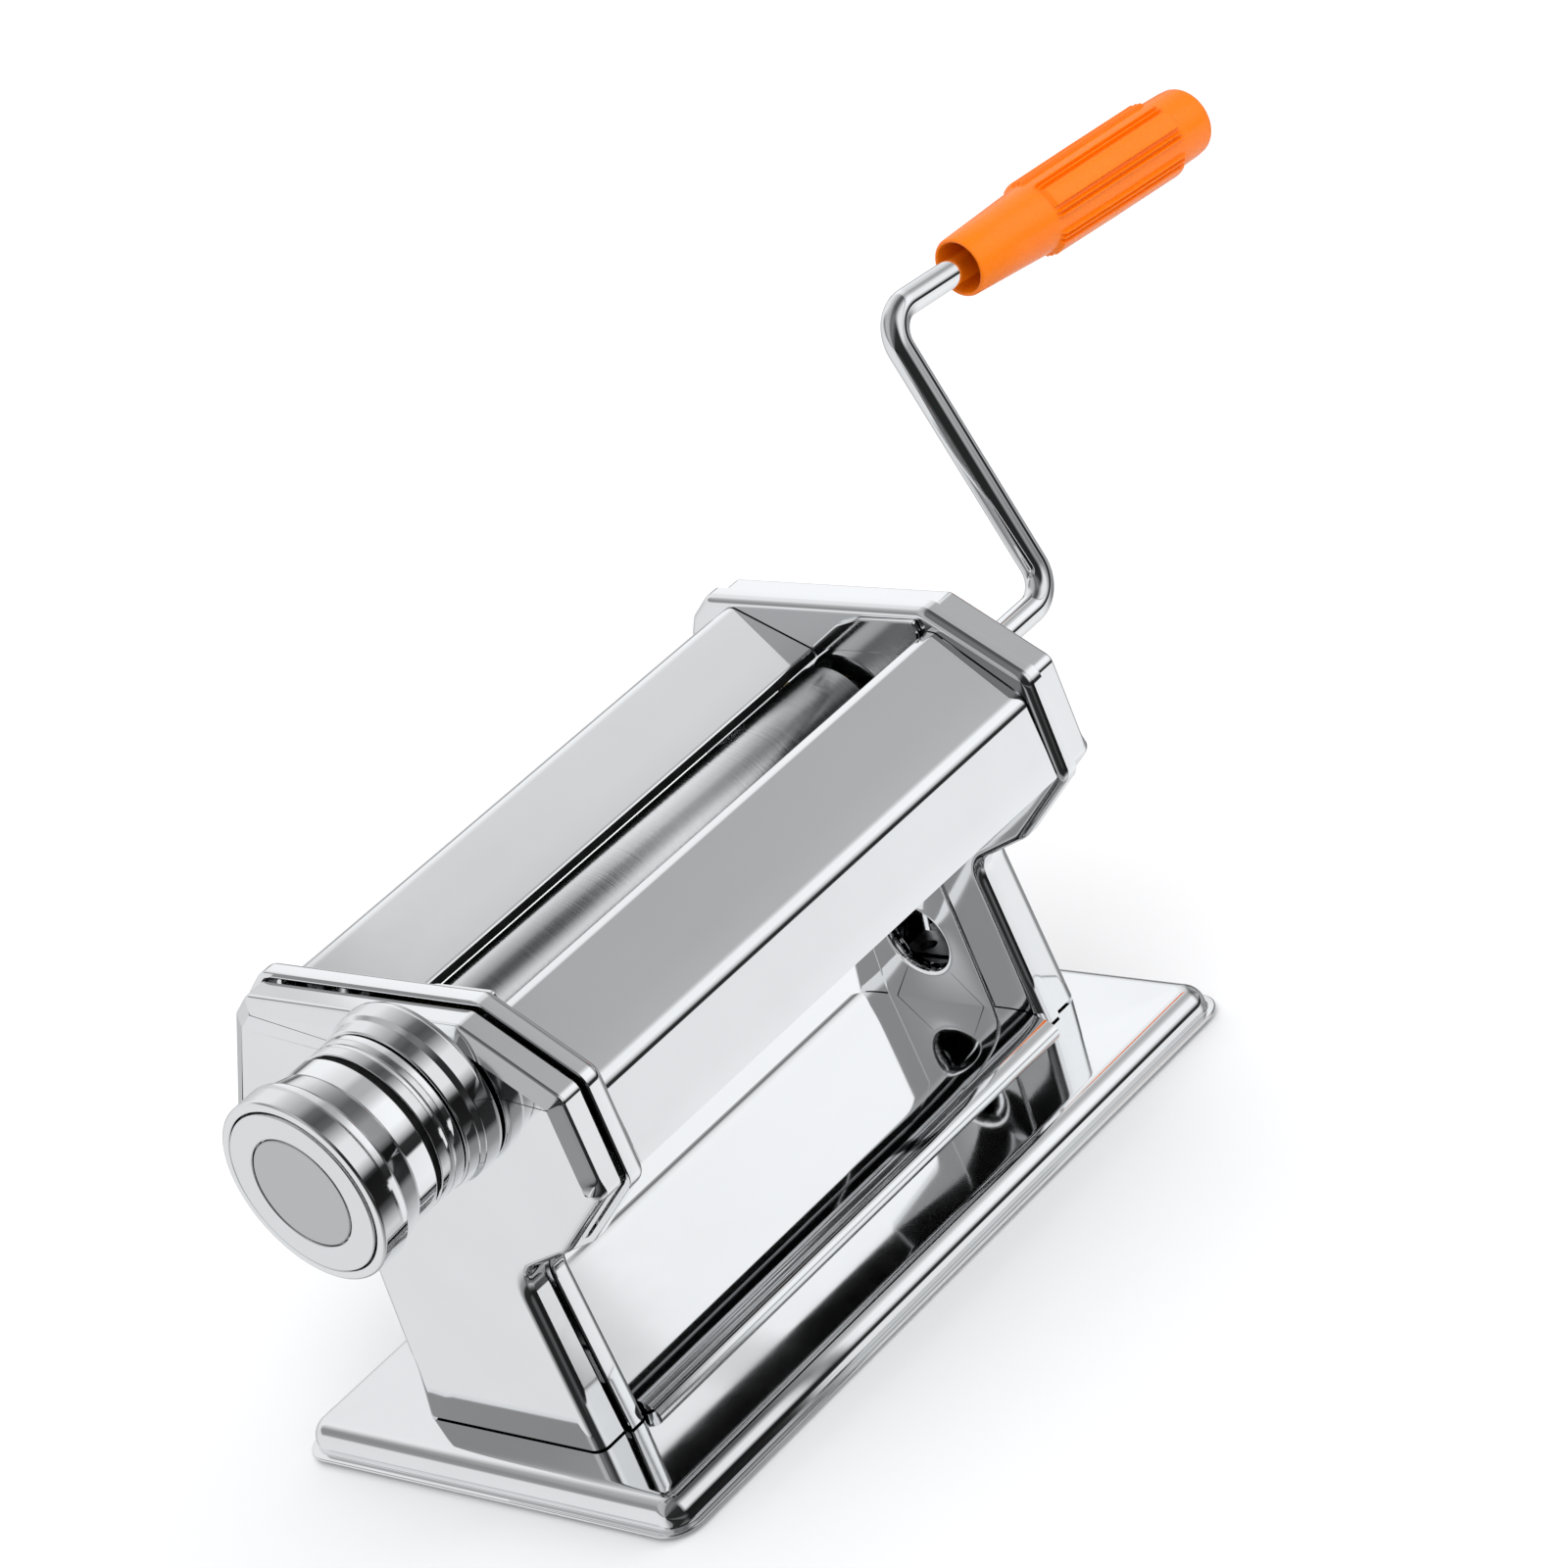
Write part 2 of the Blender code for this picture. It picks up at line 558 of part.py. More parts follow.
def scrapers():
    """Thin blades under the rollers keep dough from wrapping round them."""
    y, z = DRIVE_AXIS
    reach = ROLLER_HALF_LENGTH - 1.0
    front = ribbon([(y - 6.6, z - 11.2), (y - 10.5, z - 15.6), (y - 16.2, z - 17.4)], 0.8)
    add("scraper_front", prism(front, -reach, reach), "steel", smooth=False)
    y, z = CARRIAGE_BAR_AXIS
    rear = ribbon([(y + 0.6, z - 3.9), (y - 3.0, z - 11.0), (y - 10.4, z - 11.5)], 0.8)
    add("scraper_rear", prism(rear, -reach, reach), "steel", smooth=False)


# ---- dial --------------------------------------------------------------------------------
def dial_cam():
    """Spiral cam: its radius grows evenly, so equal turns open the rollers equally."""
    rise = ADJUST_TRAVEL / DIAL_TURN
    top = math.radians(300)
    points = []
    for k in range(61):
        angle = top * k / 60
        points.append((angle, CAM_LOW + rise * angle))
    points += [(math.radians(322), 5.2), (math.radians(345), 5.6)]
    outline = [(DIAL_AXIS[0] + r * math.cos(a), DIAL_AXIS[1] + r * math.sin(a))
               for a, r in points]
    cam = add("dial_cam", prism(outline, *CAM_X), "brass", smooth=False)
    cut(cam, [bar(DIAL_AXIS, CAM_X[0] - 1, CAM_X[1] + 1, 3.3, 20)])


def hub_collar():
    """Fixed collar on the left stand; the dial's pin runs in its groove."""
    rows = [(-88.9, 3.6), (-88.9, 21.4), (-90.0, 22.0), (-94.6, 22.0), (-95.6, 20.6),
            (-99.0, 20.6), (-99.0, 17.0), (-96.0, 17.0), (-96.0, 14.0), (-99.0, 14.0),
            (-99.0, 3.6)]
    add("hub_collar", turned(DIAL_AXIS, rows, 48), "chrome")


def dial_knob():
    """Turned knob: wide front drum, cone, waist with a groove, and a hollow inside."""
    rows = [(-126.2, 20.2), (DIAL_FRONT_X, 20.2), (DIAL_FRONT_X, 21.6), (-126.6, DIAL_RADIUS),
            (-120.2, DIAL_RADIUS), (-119.6, 22.2), (-114.8, 20.9), (-108.5, 20.6),
            (-108.5, 19.4), (-106.7, 19.4), (-106.7, 20.4), (DIAL_BACK_X, 20.4),
            (DIAL_BACK_X, 12.5), (-107.5, 12.5), (-107.5, 3.3), (-111.5, 3.3),
            (-111.5, 10.5), (-126.2, 10.5)]
    add("dial_knob", turned(DIAL_AXIS, rows, 48), "chrome")
    add("dial_face_ring", ring(DIAL_AXIS, -127.9, -126.5, 13.6, 19.9, 48), "satin")
    add("dial_face_disc", bar(DIAL_AXIS, -128.3, -126.5, 13.3, 48), "satin")
    pin_axis = (DIAL_AXIS[0], DIAL_AXIS[1] + INDEX_PIN_REACH)
    add("index_pin", bar(pin_axis, DIAL_BACK_X + 0.3, -96.5, 1.1, 12), "steel")


def dial_shaft():
    """Shaft that carries the cam inside the stand and the sprung knob outside it."""
    end, back = DIAL_SHAFT_X
    add("dial_shaft", bar(DIAL_AXIS, end, back, DIAL_SHAFT_RADIUS, 20), "steel")
    washer = bar(DIAL_AXIS, end - GAP - 1.5, end - GAP, 8.5, 24)
    add("dial_stop_washer", washer, "steel")
    spring("dial_spring", (end, *DIAL_AXIS), (1, 0, 0), 9.6, 6.2, 0.6, 4)


def dial():
    dial_cam()
    hub_collar()
    dial_knob()
    dial_shaft()


# ---- crank -------------------------------------------------------------------------------
def crank_frame():
    """Corner points of the crank's centre line and the directions of its arm and grip."""
    arm = Vector((0.0, math.sin(CRANK_LEAN), math.cos(CRANK_LEAN)))
    grip = Vector((math.cos(GRIP_TILT), 0, 0)) - arm * math.sin(GRIP_TILT)
    low = Vector((CRANK_ARM_X, *DRIVE_AXIS))
    high = low + arm * CRANK_ARM_LENGTH
    return low, high, arm, grip


def bend(corner, back, ahead, radius, steps=8):
    """Points of an arc that rounds one corner of the crank's centre line."""
    half = back.angle(ahead) / 2
    reach = radius / math.tan(half)
    centre = corner + (back + ahead).normalized() * (radius / math.sin(half))
    first = corner + back * reach - centre
    last = corner + ahead * reach - centre
    turn = first.angle(last)
    pivot = first.cross(last).normalized()
    return [centre + Matrix.Rotation(turn * k / steps, 3, pivot) @ first
            for k in range(steps + 1)]


def tube(name, points, radius, sides):
    """Round bar along a path in one plane, whose normal is the first cross product."""
    plane = (points[0] - points[3 * len(points) // 5]).cross(points[-1] - points[0]).normalized()
    loops = []
    for k, point in enumerate(points):
        ahead = points[min(k + 1, len(points) - 1)] - points[max(k - 1, 0)]
        out = ahead.normalized().cross(plane)
        loops.append([point + out * (radius * math.cos(a)) + plane * (radius * math.sin(a))
                      for a in (2 * math.pi * j / sides for j in range(sides))])
    add(name, loft(loops), "chrome")


def along_line(mesh, start, direction):
    """Move a solid turned about the X axis so that its axis is a line from start."""
    turn = Vector((1, 0, 0)).rotation_difference(direction).to_matrix()
    bmesh.ops.rotate(mesh, cent=(0, 0, 0), matrix=turn, verts=mesh.verts)
    bmesh.ops.translate(mesh, vec=start, verts=mesh.verts)
    return mesh


def crank():
    low, high, arm, grip = crank_frame()
    along = Vector((1, 0, 0))
    points = [Vector((78.4, *DRIVE_AXIS)), Vector((95.0, *DRIVE_AXIS))]
    points += bend(low, -along, arm, CRANK_BEND_RADIUS)
    points += bend(high, -arm, grip, CRANK_BEND_RADIUS)
    rod_end = GRIP_START + GRIP_POCKET_END - 1.5
    points += [high + grip * (GRIP_START + 5.0), high + grip * rod_end]
    tube("crank_rod", points, CRANK_ROD_RADIUS, 16)
    start = high + grip * GRIP_START
    # The grip's section runs along its outside to the tip, then back along its bore.
    rows = [(0.8, 5.4), (0.0, 6.2), (0.0, 6.8), (0.8, 7.4), (26.5, 9.2), (28.0, 10.2),
            (GRIP_RIB_END, 10.2), (GRIP_RIB_END + 0.5, 9.4), (GRIP_LENGTH - 4.0, 9.1),
            (GRIP_LENGTH - 1.0, 7.6), (GRIP_LENGTH, 5.8), (GRIP_LENGTH, 0.0),
            (GRIP_POCKET_END, 0.0), (GRIP_POCKET_END, 4.6), (GRIP_BORE_END, 4.6),
            (GRIP_BORE_END, 3.7), (22.0, 3.7), (19.0, 5.0)]
    add("crank_grip", along_line(turned((0.0, 0.0), rows, 32), start, grip), "orange")
    washer = bar((0, 0), GRIP_POCKET_END - 1.1, GRIP_POCKET_END - GAP, 4.2, 16)
    add("grip_end_washer", along_line(washer, start, grip), "steel")


def pivots():
    """Where each moving piece has its origin: on its joint's axis."""
    drive = Vector((0.0, *DRIVE_AXIS))
    second = Vector((0.0, *ADJUST_AXIS))
    dial_line = Vector((0.0, *DIAL_AXIS))
    places = {"crank_grip": crank_frame()[1]}
    for name in ("drive_roller", "drive_gear", "crank_rod", "grip_end_washer"):
        places[name] = drive
    for name in ("adjust_roller", "adjust_gear", "bearing_block_left", "bearing_block_right",
                 "carriage_bar", "scraper_rear"):
        places[name] = second
    for name in ("dial_shaft", "dial_cam", "dial_stop_washer", "dial_spring", "dial_knob",
                 "dial_face_ring", "dial_face_disc", "index_pin"):
        places[name] = dial_line
    return places


def settle():
    """Set each piece's own origin, then move all so that the machine's box is centred."""
    pieces = [obj for obj in bpy.data.objects if not obj.hide_render]
    corners = np.array([v.co for obj in pieces for v in obj.data.vertices])
    low = corners.min(axis=0)
    high = corners.max(axis=0)
    shift = Vector((-(low[0] + high[0]) / 2, -(low[1] + high[1]) / 2, -low[2]))
    places = pivots()
    for obj in bpy.data.objects:
        pivot = places.get(obj.name, Vector((0.0, 0.0, 0.0))) * MM
        obj.data.transform(Matrix.Translation(-pivot))
        obj.location = pivot + shift


def main():
    for obj in list(bpy.data.objects):
        bpy.data.objects.remove(obj, do_unlink=True)
    base()
    stands()
    covers()
    drive_roller()
    adjust_roller()
    roller_gears()
    carriage()
    scrapers()
    dial()
    crank()
    settle()


main()
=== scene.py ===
"""Hand-cranked pasta roller machine: the looks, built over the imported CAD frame."""
import json
import math

import bmesh
import bpy
import numpy as np
from mathutils import Matrix, Vector


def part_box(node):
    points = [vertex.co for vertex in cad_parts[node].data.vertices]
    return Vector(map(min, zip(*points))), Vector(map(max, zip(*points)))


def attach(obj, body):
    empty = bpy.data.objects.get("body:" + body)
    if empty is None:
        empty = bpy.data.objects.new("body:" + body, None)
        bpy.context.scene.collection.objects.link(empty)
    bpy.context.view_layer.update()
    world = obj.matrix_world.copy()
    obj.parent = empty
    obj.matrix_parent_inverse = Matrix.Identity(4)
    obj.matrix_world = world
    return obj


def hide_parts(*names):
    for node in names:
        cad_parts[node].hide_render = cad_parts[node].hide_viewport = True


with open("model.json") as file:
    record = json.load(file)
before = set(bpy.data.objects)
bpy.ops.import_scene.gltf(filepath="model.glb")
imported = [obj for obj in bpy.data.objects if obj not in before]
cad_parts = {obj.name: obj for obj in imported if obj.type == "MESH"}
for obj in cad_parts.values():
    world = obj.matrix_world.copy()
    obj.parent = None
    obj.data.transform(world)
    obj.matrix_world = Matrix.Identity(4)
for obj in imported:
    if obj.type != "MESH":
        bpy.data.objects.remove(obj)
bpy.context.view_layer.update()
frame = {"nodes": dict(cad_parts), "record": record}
base_low, base_high = (np.array(corner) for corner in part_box("base_plate"))
CENTRE = (base_low + base_high) / 2 * (1, 1, 0)     # middle of the base, on the worktop

# ---- camera, floor and studio light --------------------------------------------------------
# A long lens looks down on the machine from its front left, rolled a little.  The machine
# stands on a plain pale floor in a white tent with grey and black flags.
CAMERA_PLACE = Vector((-0.6901, -0.9035, 0.6423))
CAMERA_HEADING = math.radians(39.46)     # from +Y towards +X
CAMERA_PITCH = math.radians(-25.36)
CAMERA_ROLL = math.radians(-22.14)

camera_data = bpy.data.cameras.new("camera")
camera_data.lens = 129.6
camera_data.sensor_width = 36.0
camera_data.clip_end = 50.0
camera = bpy.data.objects.new("camera", camera_data)
bpy.context.collection.objects.link(camera)
looks_along = Vector((math.sin(CAMERA_HEADING) * math.cos(CAMERA_PITCH),
                      math.cos(CAMERA_HEADING) * math.cos(CAMERA_PITCH),
                      math.sin(CAMERA_PITCH)))
turn = looks_along.to_track_quat("-Z", "Y").to_matrix().to_4x4()
camera.matrix_world = (Matrix.Translation(CAMERA_PLACE + Vector(CENTRE)) @ turn
                       @ Matrix.Rotation(CAMERA_ROLL, 4, "Z"))
bpy.context.scene.camera = camera
bpy.context.scene.view_settings.view_transform = "Standard"
bpy.context.scene.view_settings.look = "None"


def node(tree, kind, **settings):
    """Add a shader node, set its properties, and link or set its inputs by name."""
    made = tree.nodes.new(kind)
    inputs = settings.pop("inputs", {})
    for key, value in settings.items():
        setattr(made, key, value)
    for key, value in inputs.items():
        if isinstance(value, bpy.types.NodeSocket):
            tree.links.new(value, made.inputs[key])
        else:
            made.inputs[key].default_value = value
    return made


COOL_RED, COOL_GREEN = 0.985, 0.992      # the greys lean this little towards blue


def ramp(tree, factor, stops):
    """Colour ramp of grey levels: each stop is (place, level), straight lines between."""
    made = tree.nodes.new("ShaderNodeValToRGB")
    band = made.color_ramp
    while len(band.elements) < len(stops):
        band.elements.new(0.5)
    for element, (place, level) in zip(band.elements, stops):
        element.position = place
        element.color = (level * COOL_RED, level * COOL_GREEN, level, 1.0)
    tree.links.new(factor, made.inputs[0])
    return made.outputs["Color"]


# The tent is a strip pattern about the roller axis: level by the angle, in degrees, of a
# direction seen along X, from straight back (0) over the top (90) to straight front (180).
# The +X half of the tent is mostly white, and towards -X its front wall is dark.  Between
# them lie a wide part, which the dial's drum mirrors, and a narrow one for its waist.
TENT = [(-180, 0.30), (-176, 0.03), (-161, 0.02), (-158, 0.88), (-120, 0.95), (-60, 0.74),
        (-35, 0.80), (-8, 0.50), (4, 0.12), (12, 0.85), (20, 1.02), (45, 1.0), (66, 0.84),
        (82, 0.74), (92, 0.46), (108, 0.46), (120, 0.66), (132, 1.0), (160, 1.02),
        (172, 0.72), (180, 0.30)]
DIAL_SIDE = [(-180, 0.02), (-168, 0.03), (-160, 0.15), (-152, 0.02), (-126, 0.03),
             (-116, 0.26), (-100, 0.32), (-88, 0.50), (-60, 0.80), (-28, 0.82),
             (20, 0.80), (26, 0.32), (36, 0.28), (46, 0.50), (60, 0.50), (80, 0.45),
             (92, 0.16), (112, 0.20), (138, 0.03), (180, 0.02)]
DRUM = [(-180, 0.05), (-176, 0.01), (-146, 0.015), (-136, 0.12), (-124, 0.48), (-112, 0.75),
        (-87, 0.50), (-60, 0.32), (-30, 0.50), (6, 0.77), (18, 0.94), (42, 0.94), (54, 0.76),
        (70, 0.55), (80, 0.42), (90, 0.16), (103, 0.09), (114, 0.14), (126, 0.52), (138, 0.92),
        (164, 0.92), (174, 0.45), (180, 0.05)]
WAIST = [(-180, 0.01), (-157, 0.02), (-155.5, 0.88), (-149.5, 0.88), (-148, 0.02),
         (-130, 0.02), (-120, 0.50), (-100, 0.70), (-60, 0.50), (-20, 0.60), (20, 0.75),
         (48, 0.72), (62, 0.62), (80, 0.45), (92, 0.20), (112, 0.24), (134, 0.04),
         (180, 0.01)]
# Where one pattern gives way to the next, as the X part of the direction.
TO_DRUM, TO_WAIST, TO_TENT = (-0.25, 0.05), (0.4900, 0.4918), (0.502, 0.506)
# Level along the tent, from -X (0) to +X (1): darkest just short of the +X end.
TENT_ENDS = [(0.0, 0.9), (0.06, 1.0), (0.74, 0.92), (0.80, 1.03), (0.86, 0.8),
             (0.92, 0.25), (1.0, 0.5)]
PALE_ROOM = (0.96, 0.96, 0.965, 1)       # what the floor and the background see

world = bpy.data.worlds.new("tent")
bpy.context.scene.world = world
world.use_nodes = True
tree = world.node_tree
tree.nodes.clear()
heading = node(tree, "ShaderNodeTexCoord").outputs["Generated"]
parts = node(tree, "ShaderNodeSeparateXYZ", inputs={"Vector": heading})
angle = node(tree, "ShaderNodeMath", operation="ARCTAN2",
             inputs={0: parts.outputs["Z"], 1: parts.outputs["Y"]})
place = node(tree, "ShaderNodeMapRange",
             inputs={"Value": angle.outputs[0], "From Min": -math.pi, "From Max": math.pi})
dial_side, *onwards = [ramp(tree, place.outputs[0], [((a + 180) / 360, v) for a, v in pattern])
                       for pattern in (DIAL_SIDE, DRUM, WAIST, TENT)]
walls = dial_side
for (start, end), pattern in zip((TO_DRUM, TO_WAIST, TO_TENT), onwards):
    share = node(tree, "ShaderNodeMapRange", inputs={
        "Value": parts.outputs["X"], "From Min": start, "From Max": end})
    walls = node(tree, "ShaderNodeMix", data_type="RGBA",
                 inputs={0: share.outputs[0], 6: walls, 7: pattern}).outputs[2]
lengthwise = node(tree, "ShaderNodeMapRange", inputs={
    "Value": parts.outputs["X"], "From Min": -1.0, "From Max": 1.0})
tent = node(tree, "ShaderNodeMix", data_type="RGBA", blend_type="MULTIPLY",
            inputs={0: 1.0, 6: walls, 7: ramp(tree, lengthwise.outputs[0], TENT_ENDS)})
mirrored = node(tree, "ShaderNodeBackground", inputs={"Color": tent.outputs[2], "Strength": 1.0})
room = node(tree, "ShaderNodeBackground", inputs={"Color": PALE_ROOM, "Strength": 1.0})
path = node(tree, "ShaderNodeLightPath")
plain = node(tree, "ShaderNodeMath", operation="MAXIMUM", inputs={
    0: path.outputs["Is Camera Ray"], 1: path.outputs["Is Diffuse Ray"]})
choice = node(tree, "ShaderNodeMixShader", inputs={
    0: plain.outputs[0], 1: mirrored.outputs[0], 2: room.outputs[0]})
node(tree, "ShaderNodeOutputWorld", inputs={"Surface": choice.outputs[0]})

FLOOR_HALF = 6.0
FLOOR_DROP = 0.0005              # keeps the floor's face off the feet's
floor_data = bpy.data.meshes.new("floor")
floor_data.from_pydata([(x * FLOOR_HALF, y * FLOOR_HALF, 0)
                        for x, y in ((-1, -1), (1, -1), (1, 1), (-1, 1))], [], [(0, 1, 2, 3)])
floor = bpy.data.objects.new("floor", floor_data)
bpy.context.collection.objects.link(floor)
floor.location.z = -FLOOR_DROP
floor.visible_glossy = False
floor_material = bpy.data.materials.new("floor")
floor_material.use_nodes = True
paper = floor_material.node_tree.nodes["Principled BSDF"]
paper.inputs["Roughness"].default_value = 0.9
paper.inputs["Specular IOR Level"].default_value = 0.1
paper_grain = node(floor_material.node_tree, "ShaderNodeTexNoise", inputs={"Scale": 40.0})
paper_tone = ramp(floor_material.node_tree, paper_grain.outputs[0], [(0.3, 0.88), (0.7, 0.91)])
floor_material.node_tree.links.new(paper_tone, paper.inputs["Base Color"])
floor_data.materials.append(floor_material)

LIT_PLACE = Vector((0, 0, 0.08))
for name, spot, size, power in (("key", (-0.7, -0.6, 1.3), 0.9, 6.0),
                                ("fill", (0.9, -0.7, 0.9), 0.8, 3.5),
                                ("back", (0.3, 1.1, 1.0), 0.9, 4.0)):
    lamp_data = bpy.data.lights.new(name, "AREA")
    lamp_data.size = size
    lamp_data.energy = power
    lamp = bpy.data.objects.new(name, lamp_data)
    lamp.location = spot
    lamp.rotation_euler = (LIT_PLACE - Vector(spot)).to_track_quat("-Z", "Y").to_euler()
    lamp.visible_glossy = False
    bpy.context.collection.objects.link(lamp)

# ---- base ----------------------------------------------------------------------------------
# One stamping of polished stainless sheet: a flat flange, a rolled bead, a rounded wall, a
# flat top, and a raised middle between the stands with soft shoulders and a sharp foot.
MM = 0.001
BASE_HALF = (102.5, 62.25)
BASE_TOP = 8.2
BASE_CORNER = 8.0
RAISED_TOP = 12.8
RAISED_FLAT = 20.0
RAISED_EDGE = 34.3
STAND_FACE = 74.5
RAISED_REACH = STAND_FACE - 0.3
ROOT = 0.5                      # how far the raised middle's sides run below the flat top


def skin(name, grid, close_u=False, close_v=False, caps=()):
    """Object from a (rows, columns, 3) grid of points, in millimetres from the base's middle.

    Neighbours in the grid share a face; close_u joins the last row to the first, close_v
    the last column to the first, and caps names rows that are filled with one flat face.
    """
    rows, columns = grid.shape[:2]
    index = np.arange(rows * columns).reshape(rows, columns)
    here = index if close_u else index[:-1]
    below = np.roll(index, -1, axis=0) if close_u else index[1:]
    if close_v:
        right, below_right = np.roll(here, -1, axis=1), np.roll(below, -1, axis=1)
    else:
        right, below_right = here[:, 1:], below[:, 1:]
        here, below = here[:, :-1], below[:, :-1]
    faces = np.stack([here, right, below_right, below], axis=-1).reshape(-1, 4).tolist()
    for row in caps:
        faces.append(index[row].tolist()[::-1] if row == 0 else index[row].tolist())
    data = bpy.data.meshes.new(name)
    data.from_pydata((grid.reshape(-1, 3) * MM + CENTRE).tolist(), [], faces)
    made = bpy.data.objects.new(name, data)
    bpy.context.collection.objects.link(made)
    return made


def tidy(piece, bend=30.0, merge=0.00001):
    """Weld the piece's doubles, turn its faces outwards and shade its curves smooth."""
    work = bmesh.new()
    work.from_mesh(piece.data)
    bmesh.ops.remove_doubles(work, verts=work.verts, dist=merge)
    bmesh.ops.dissolve_degenerate(work, edges=work.edges, dist=merge)
    bmesh.ops.recalc_face_normals(work, faces=work.faces)
    work.to_mesh(piece.data)
    work.free()
    piece.data.shade_smooth()
    piece.data.set_sharp_from_angle(angle=math.radians(bend))
    return piece


def join(name, *pieces):
    """One object that holds the meshes of several."""
    work = bmesh.new()
    for piece in pieces:
        work.from_mesh(piece.data)
        bpy.data.objects.remove(piece)
    data = bpy.data.meshes.new(name)
    work.to_mesh(data)
    work.free()
    made = bpy.data.objects.new(name, data)
    bpy.context.collection.objects.link(made)
    return made


def new_material(name):
    """A node material: returns it, its tree, its shader and the Object coordinates."""
    made = bpy.data.materials.new(name)
    made.use_nodes = True
    tree = made.node_tree
    coords = node(tree, "ShaderNodeTexCoord").outputs["Object"]
    return made, tree, tree.nodes["Principled BSDF"], coords


def polished_metal(name, tone=0.93, rough=(0.035, 0.075), wave=0.02, cloud=9.0):
    """Mirror-polished sheet: faint clouds of haze, and long shallow waves from rolling.

    One noise sets both the haze, between the two levels of rough, and a tone that falls
    by a fortieth; a coarser noise tilts the surface.
    """
    made, tree, shader, coords = new_material(name)
    shader.inputs["Metallic"].default_value = 1.0
    haze = node(tree, "ShaderNodeTexNoise", inputs={
        "Vector": coords, "Scale": cloud * 4, "Detail": 6.0, "Roughness": 0.6})
    rubbed = node(tree, "ShaderNodeMapRange", inputs={
        "Value": haze.outputs[0], "From Min": 0.3, "From Max": 0.7,
        "To Min": rough[0], "To Max": rough[1]})
    tree.links.new(rubbed.outputs[0], shader.inputs["Roughness"])
    colour = ramp(tree, haze.outputs[0], [(0.25, tone), (0.75, tone * 0.975)])
    tree.links.new(colour, shader.inputs["Base Color"])
    waves = node(tree, "ShaderNodeTexNoise", inputs={
        "Vector": coords, "Scale": cloud, "Detail": 1.0})
    bump = node(tree, "ShaderNodeBump", inputs={
        "Height": waves.outputs[0], "Strength": wave, "Distance": 0.01})
    tree.links.new(bump.outputs[0], shader.inputs["Normal"])
    return made


def frame_ring(half_x, half_y, z, radius, steps=14):
    """Rounded rectangle at one height: four quarter circles joined by straight sides."""
    quarter = np.linspace(0, math.pi / 2, steps)
    turn = (np.arange(4)[:, None] * math.pi / 2 + quarter).ravel()
    sign_x = np.repeat([1, -1, -1, 1], steps)
    sign_y = np.repeat([1, 1, -1, -1], steps)
    x = sign_x * (half_x - radius) + radius * np.cos(turn)
    y = sign_y * (half_y - radius) + radius * np.sin(turn)
    return np.stack([x, y, np.full_like(x, z)], axis=1)


def arc(centre, radius, start, end, steps=7):
    """Points of an arc in a section: centre plus radius times cosine and sine, in degrees."""
    a = np.radians(np.linspace(start, end, steps))
    return [(centre[0] + radius * math.cos(t), centre[1] + radius * math.sin(t)) for t in a]


# Section of the rim, from under the flange over the bead and up the wall to the flat top:
# (inset from the outline, height).  Each rounded stretch is an arc.
rim = [(3.2, 0.8), (0.45, 0.8)] + arc((0.45, 1.2), 0.4, 270, 90)
rim += [(1.7, 1.6)] + arc((1.7, 1.9), 0.3, 270, 360, 4)
rim += [(2.02, 3.0)] + arc((6.9, 3.2), 4.85, 176, 92, 24)
base_metal = polished_metal("polished stainless base", wave=0.012)
rings = [frame_ring(BASE_HALF[0] - inset, BASE_HALF[1] - inset, z, max(BASE_CORNER - inset, 3.0))
         for inset, z in rim]
UNDERSIDE = [(7.2, BASE_TOP - 1.1), (4.6, 4.9)]         # the hollow side of the sheet
under = [frame_ring(BASE_HALF[0] - inset, BASE_HALF[1] - inset, z, 4.0)
         for inset, z in UNDERSIDE]
tray = skin("tray", np.array(under + rings), close_v=True, caps=(0, -1))

# The raised middle is a section in y and z carried along X: a flat top between two
# quarter-ellipse shoulders that run down to the flat of the tray and just through it.
lean = np.linspace(0, math.pi / 2, 22)
shoulder = np.stack([RAISED_FLAT + (RAISED_EDGE - RAISED_FLAT) * np.cos(lean),
                     BASE_TOP + (RAISED_TOP - BASE_TOP) * np.sin(lean)], axis=1)
section = np.vstack([[RAISED_EDGE, BASE_TOP - ROOT], shoulder, shoulder[::-1] * (-1, 1),
                     [-RAISED_EDGE, BASE_TOP - ROOT]])
middle = np.stack([np.stack([np.full(len(section), x), section[:, 0], section[:, 1]], axis=1)
                   for x in (-RAISED_REACH, RAISED_REACH)])
raised = skin("raised", middle, close_v=True, caps=(0, -1))
base = tidy(join("base_sheet", tray, raised), 32)
base.data.materials.append(base_metal)
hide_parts("base_plate")
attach(base, "frame")


def dull(name, scale, tones, hazes, shine, detail=2.0):
    """Matt or satin stuff: one noise sets the grey and the roughness, each by a ramp.

    tones and hazes are the ramps' stops; shine is the strength of the plain reflection.
    """
    made, tree, shader, coords = new_material(name)
    shader.inputs["Specular IOR Level"].default_value = shine
    mottle = node(tree, "ShaderNodeTexNoise", inputs={
        "Vector": coords, "Scale": scale, "Detail": detail})
    tree.links.new(ramp(tree, mottle.outputs[0], tones), shader.inputs["Base Color"])
    tree.links.new(ramp(tree, mottle.outputs[0], hazes), shader.inputs["Roughness"])
    return made


# Four round rubber feet, pressed into the corners of the tray and a little soiled.
rubber = dull("black rubber", 260.0, [(0.35, 0.012), (0.75, 0.05)], [(0.3, 0.6), (0.7, 0.85)],
              0.3, detail=5.0)
for number in range(1, 5):
    frame["nodes"][f"rubber_foot_{number}"].material_slots[0].material = rubber

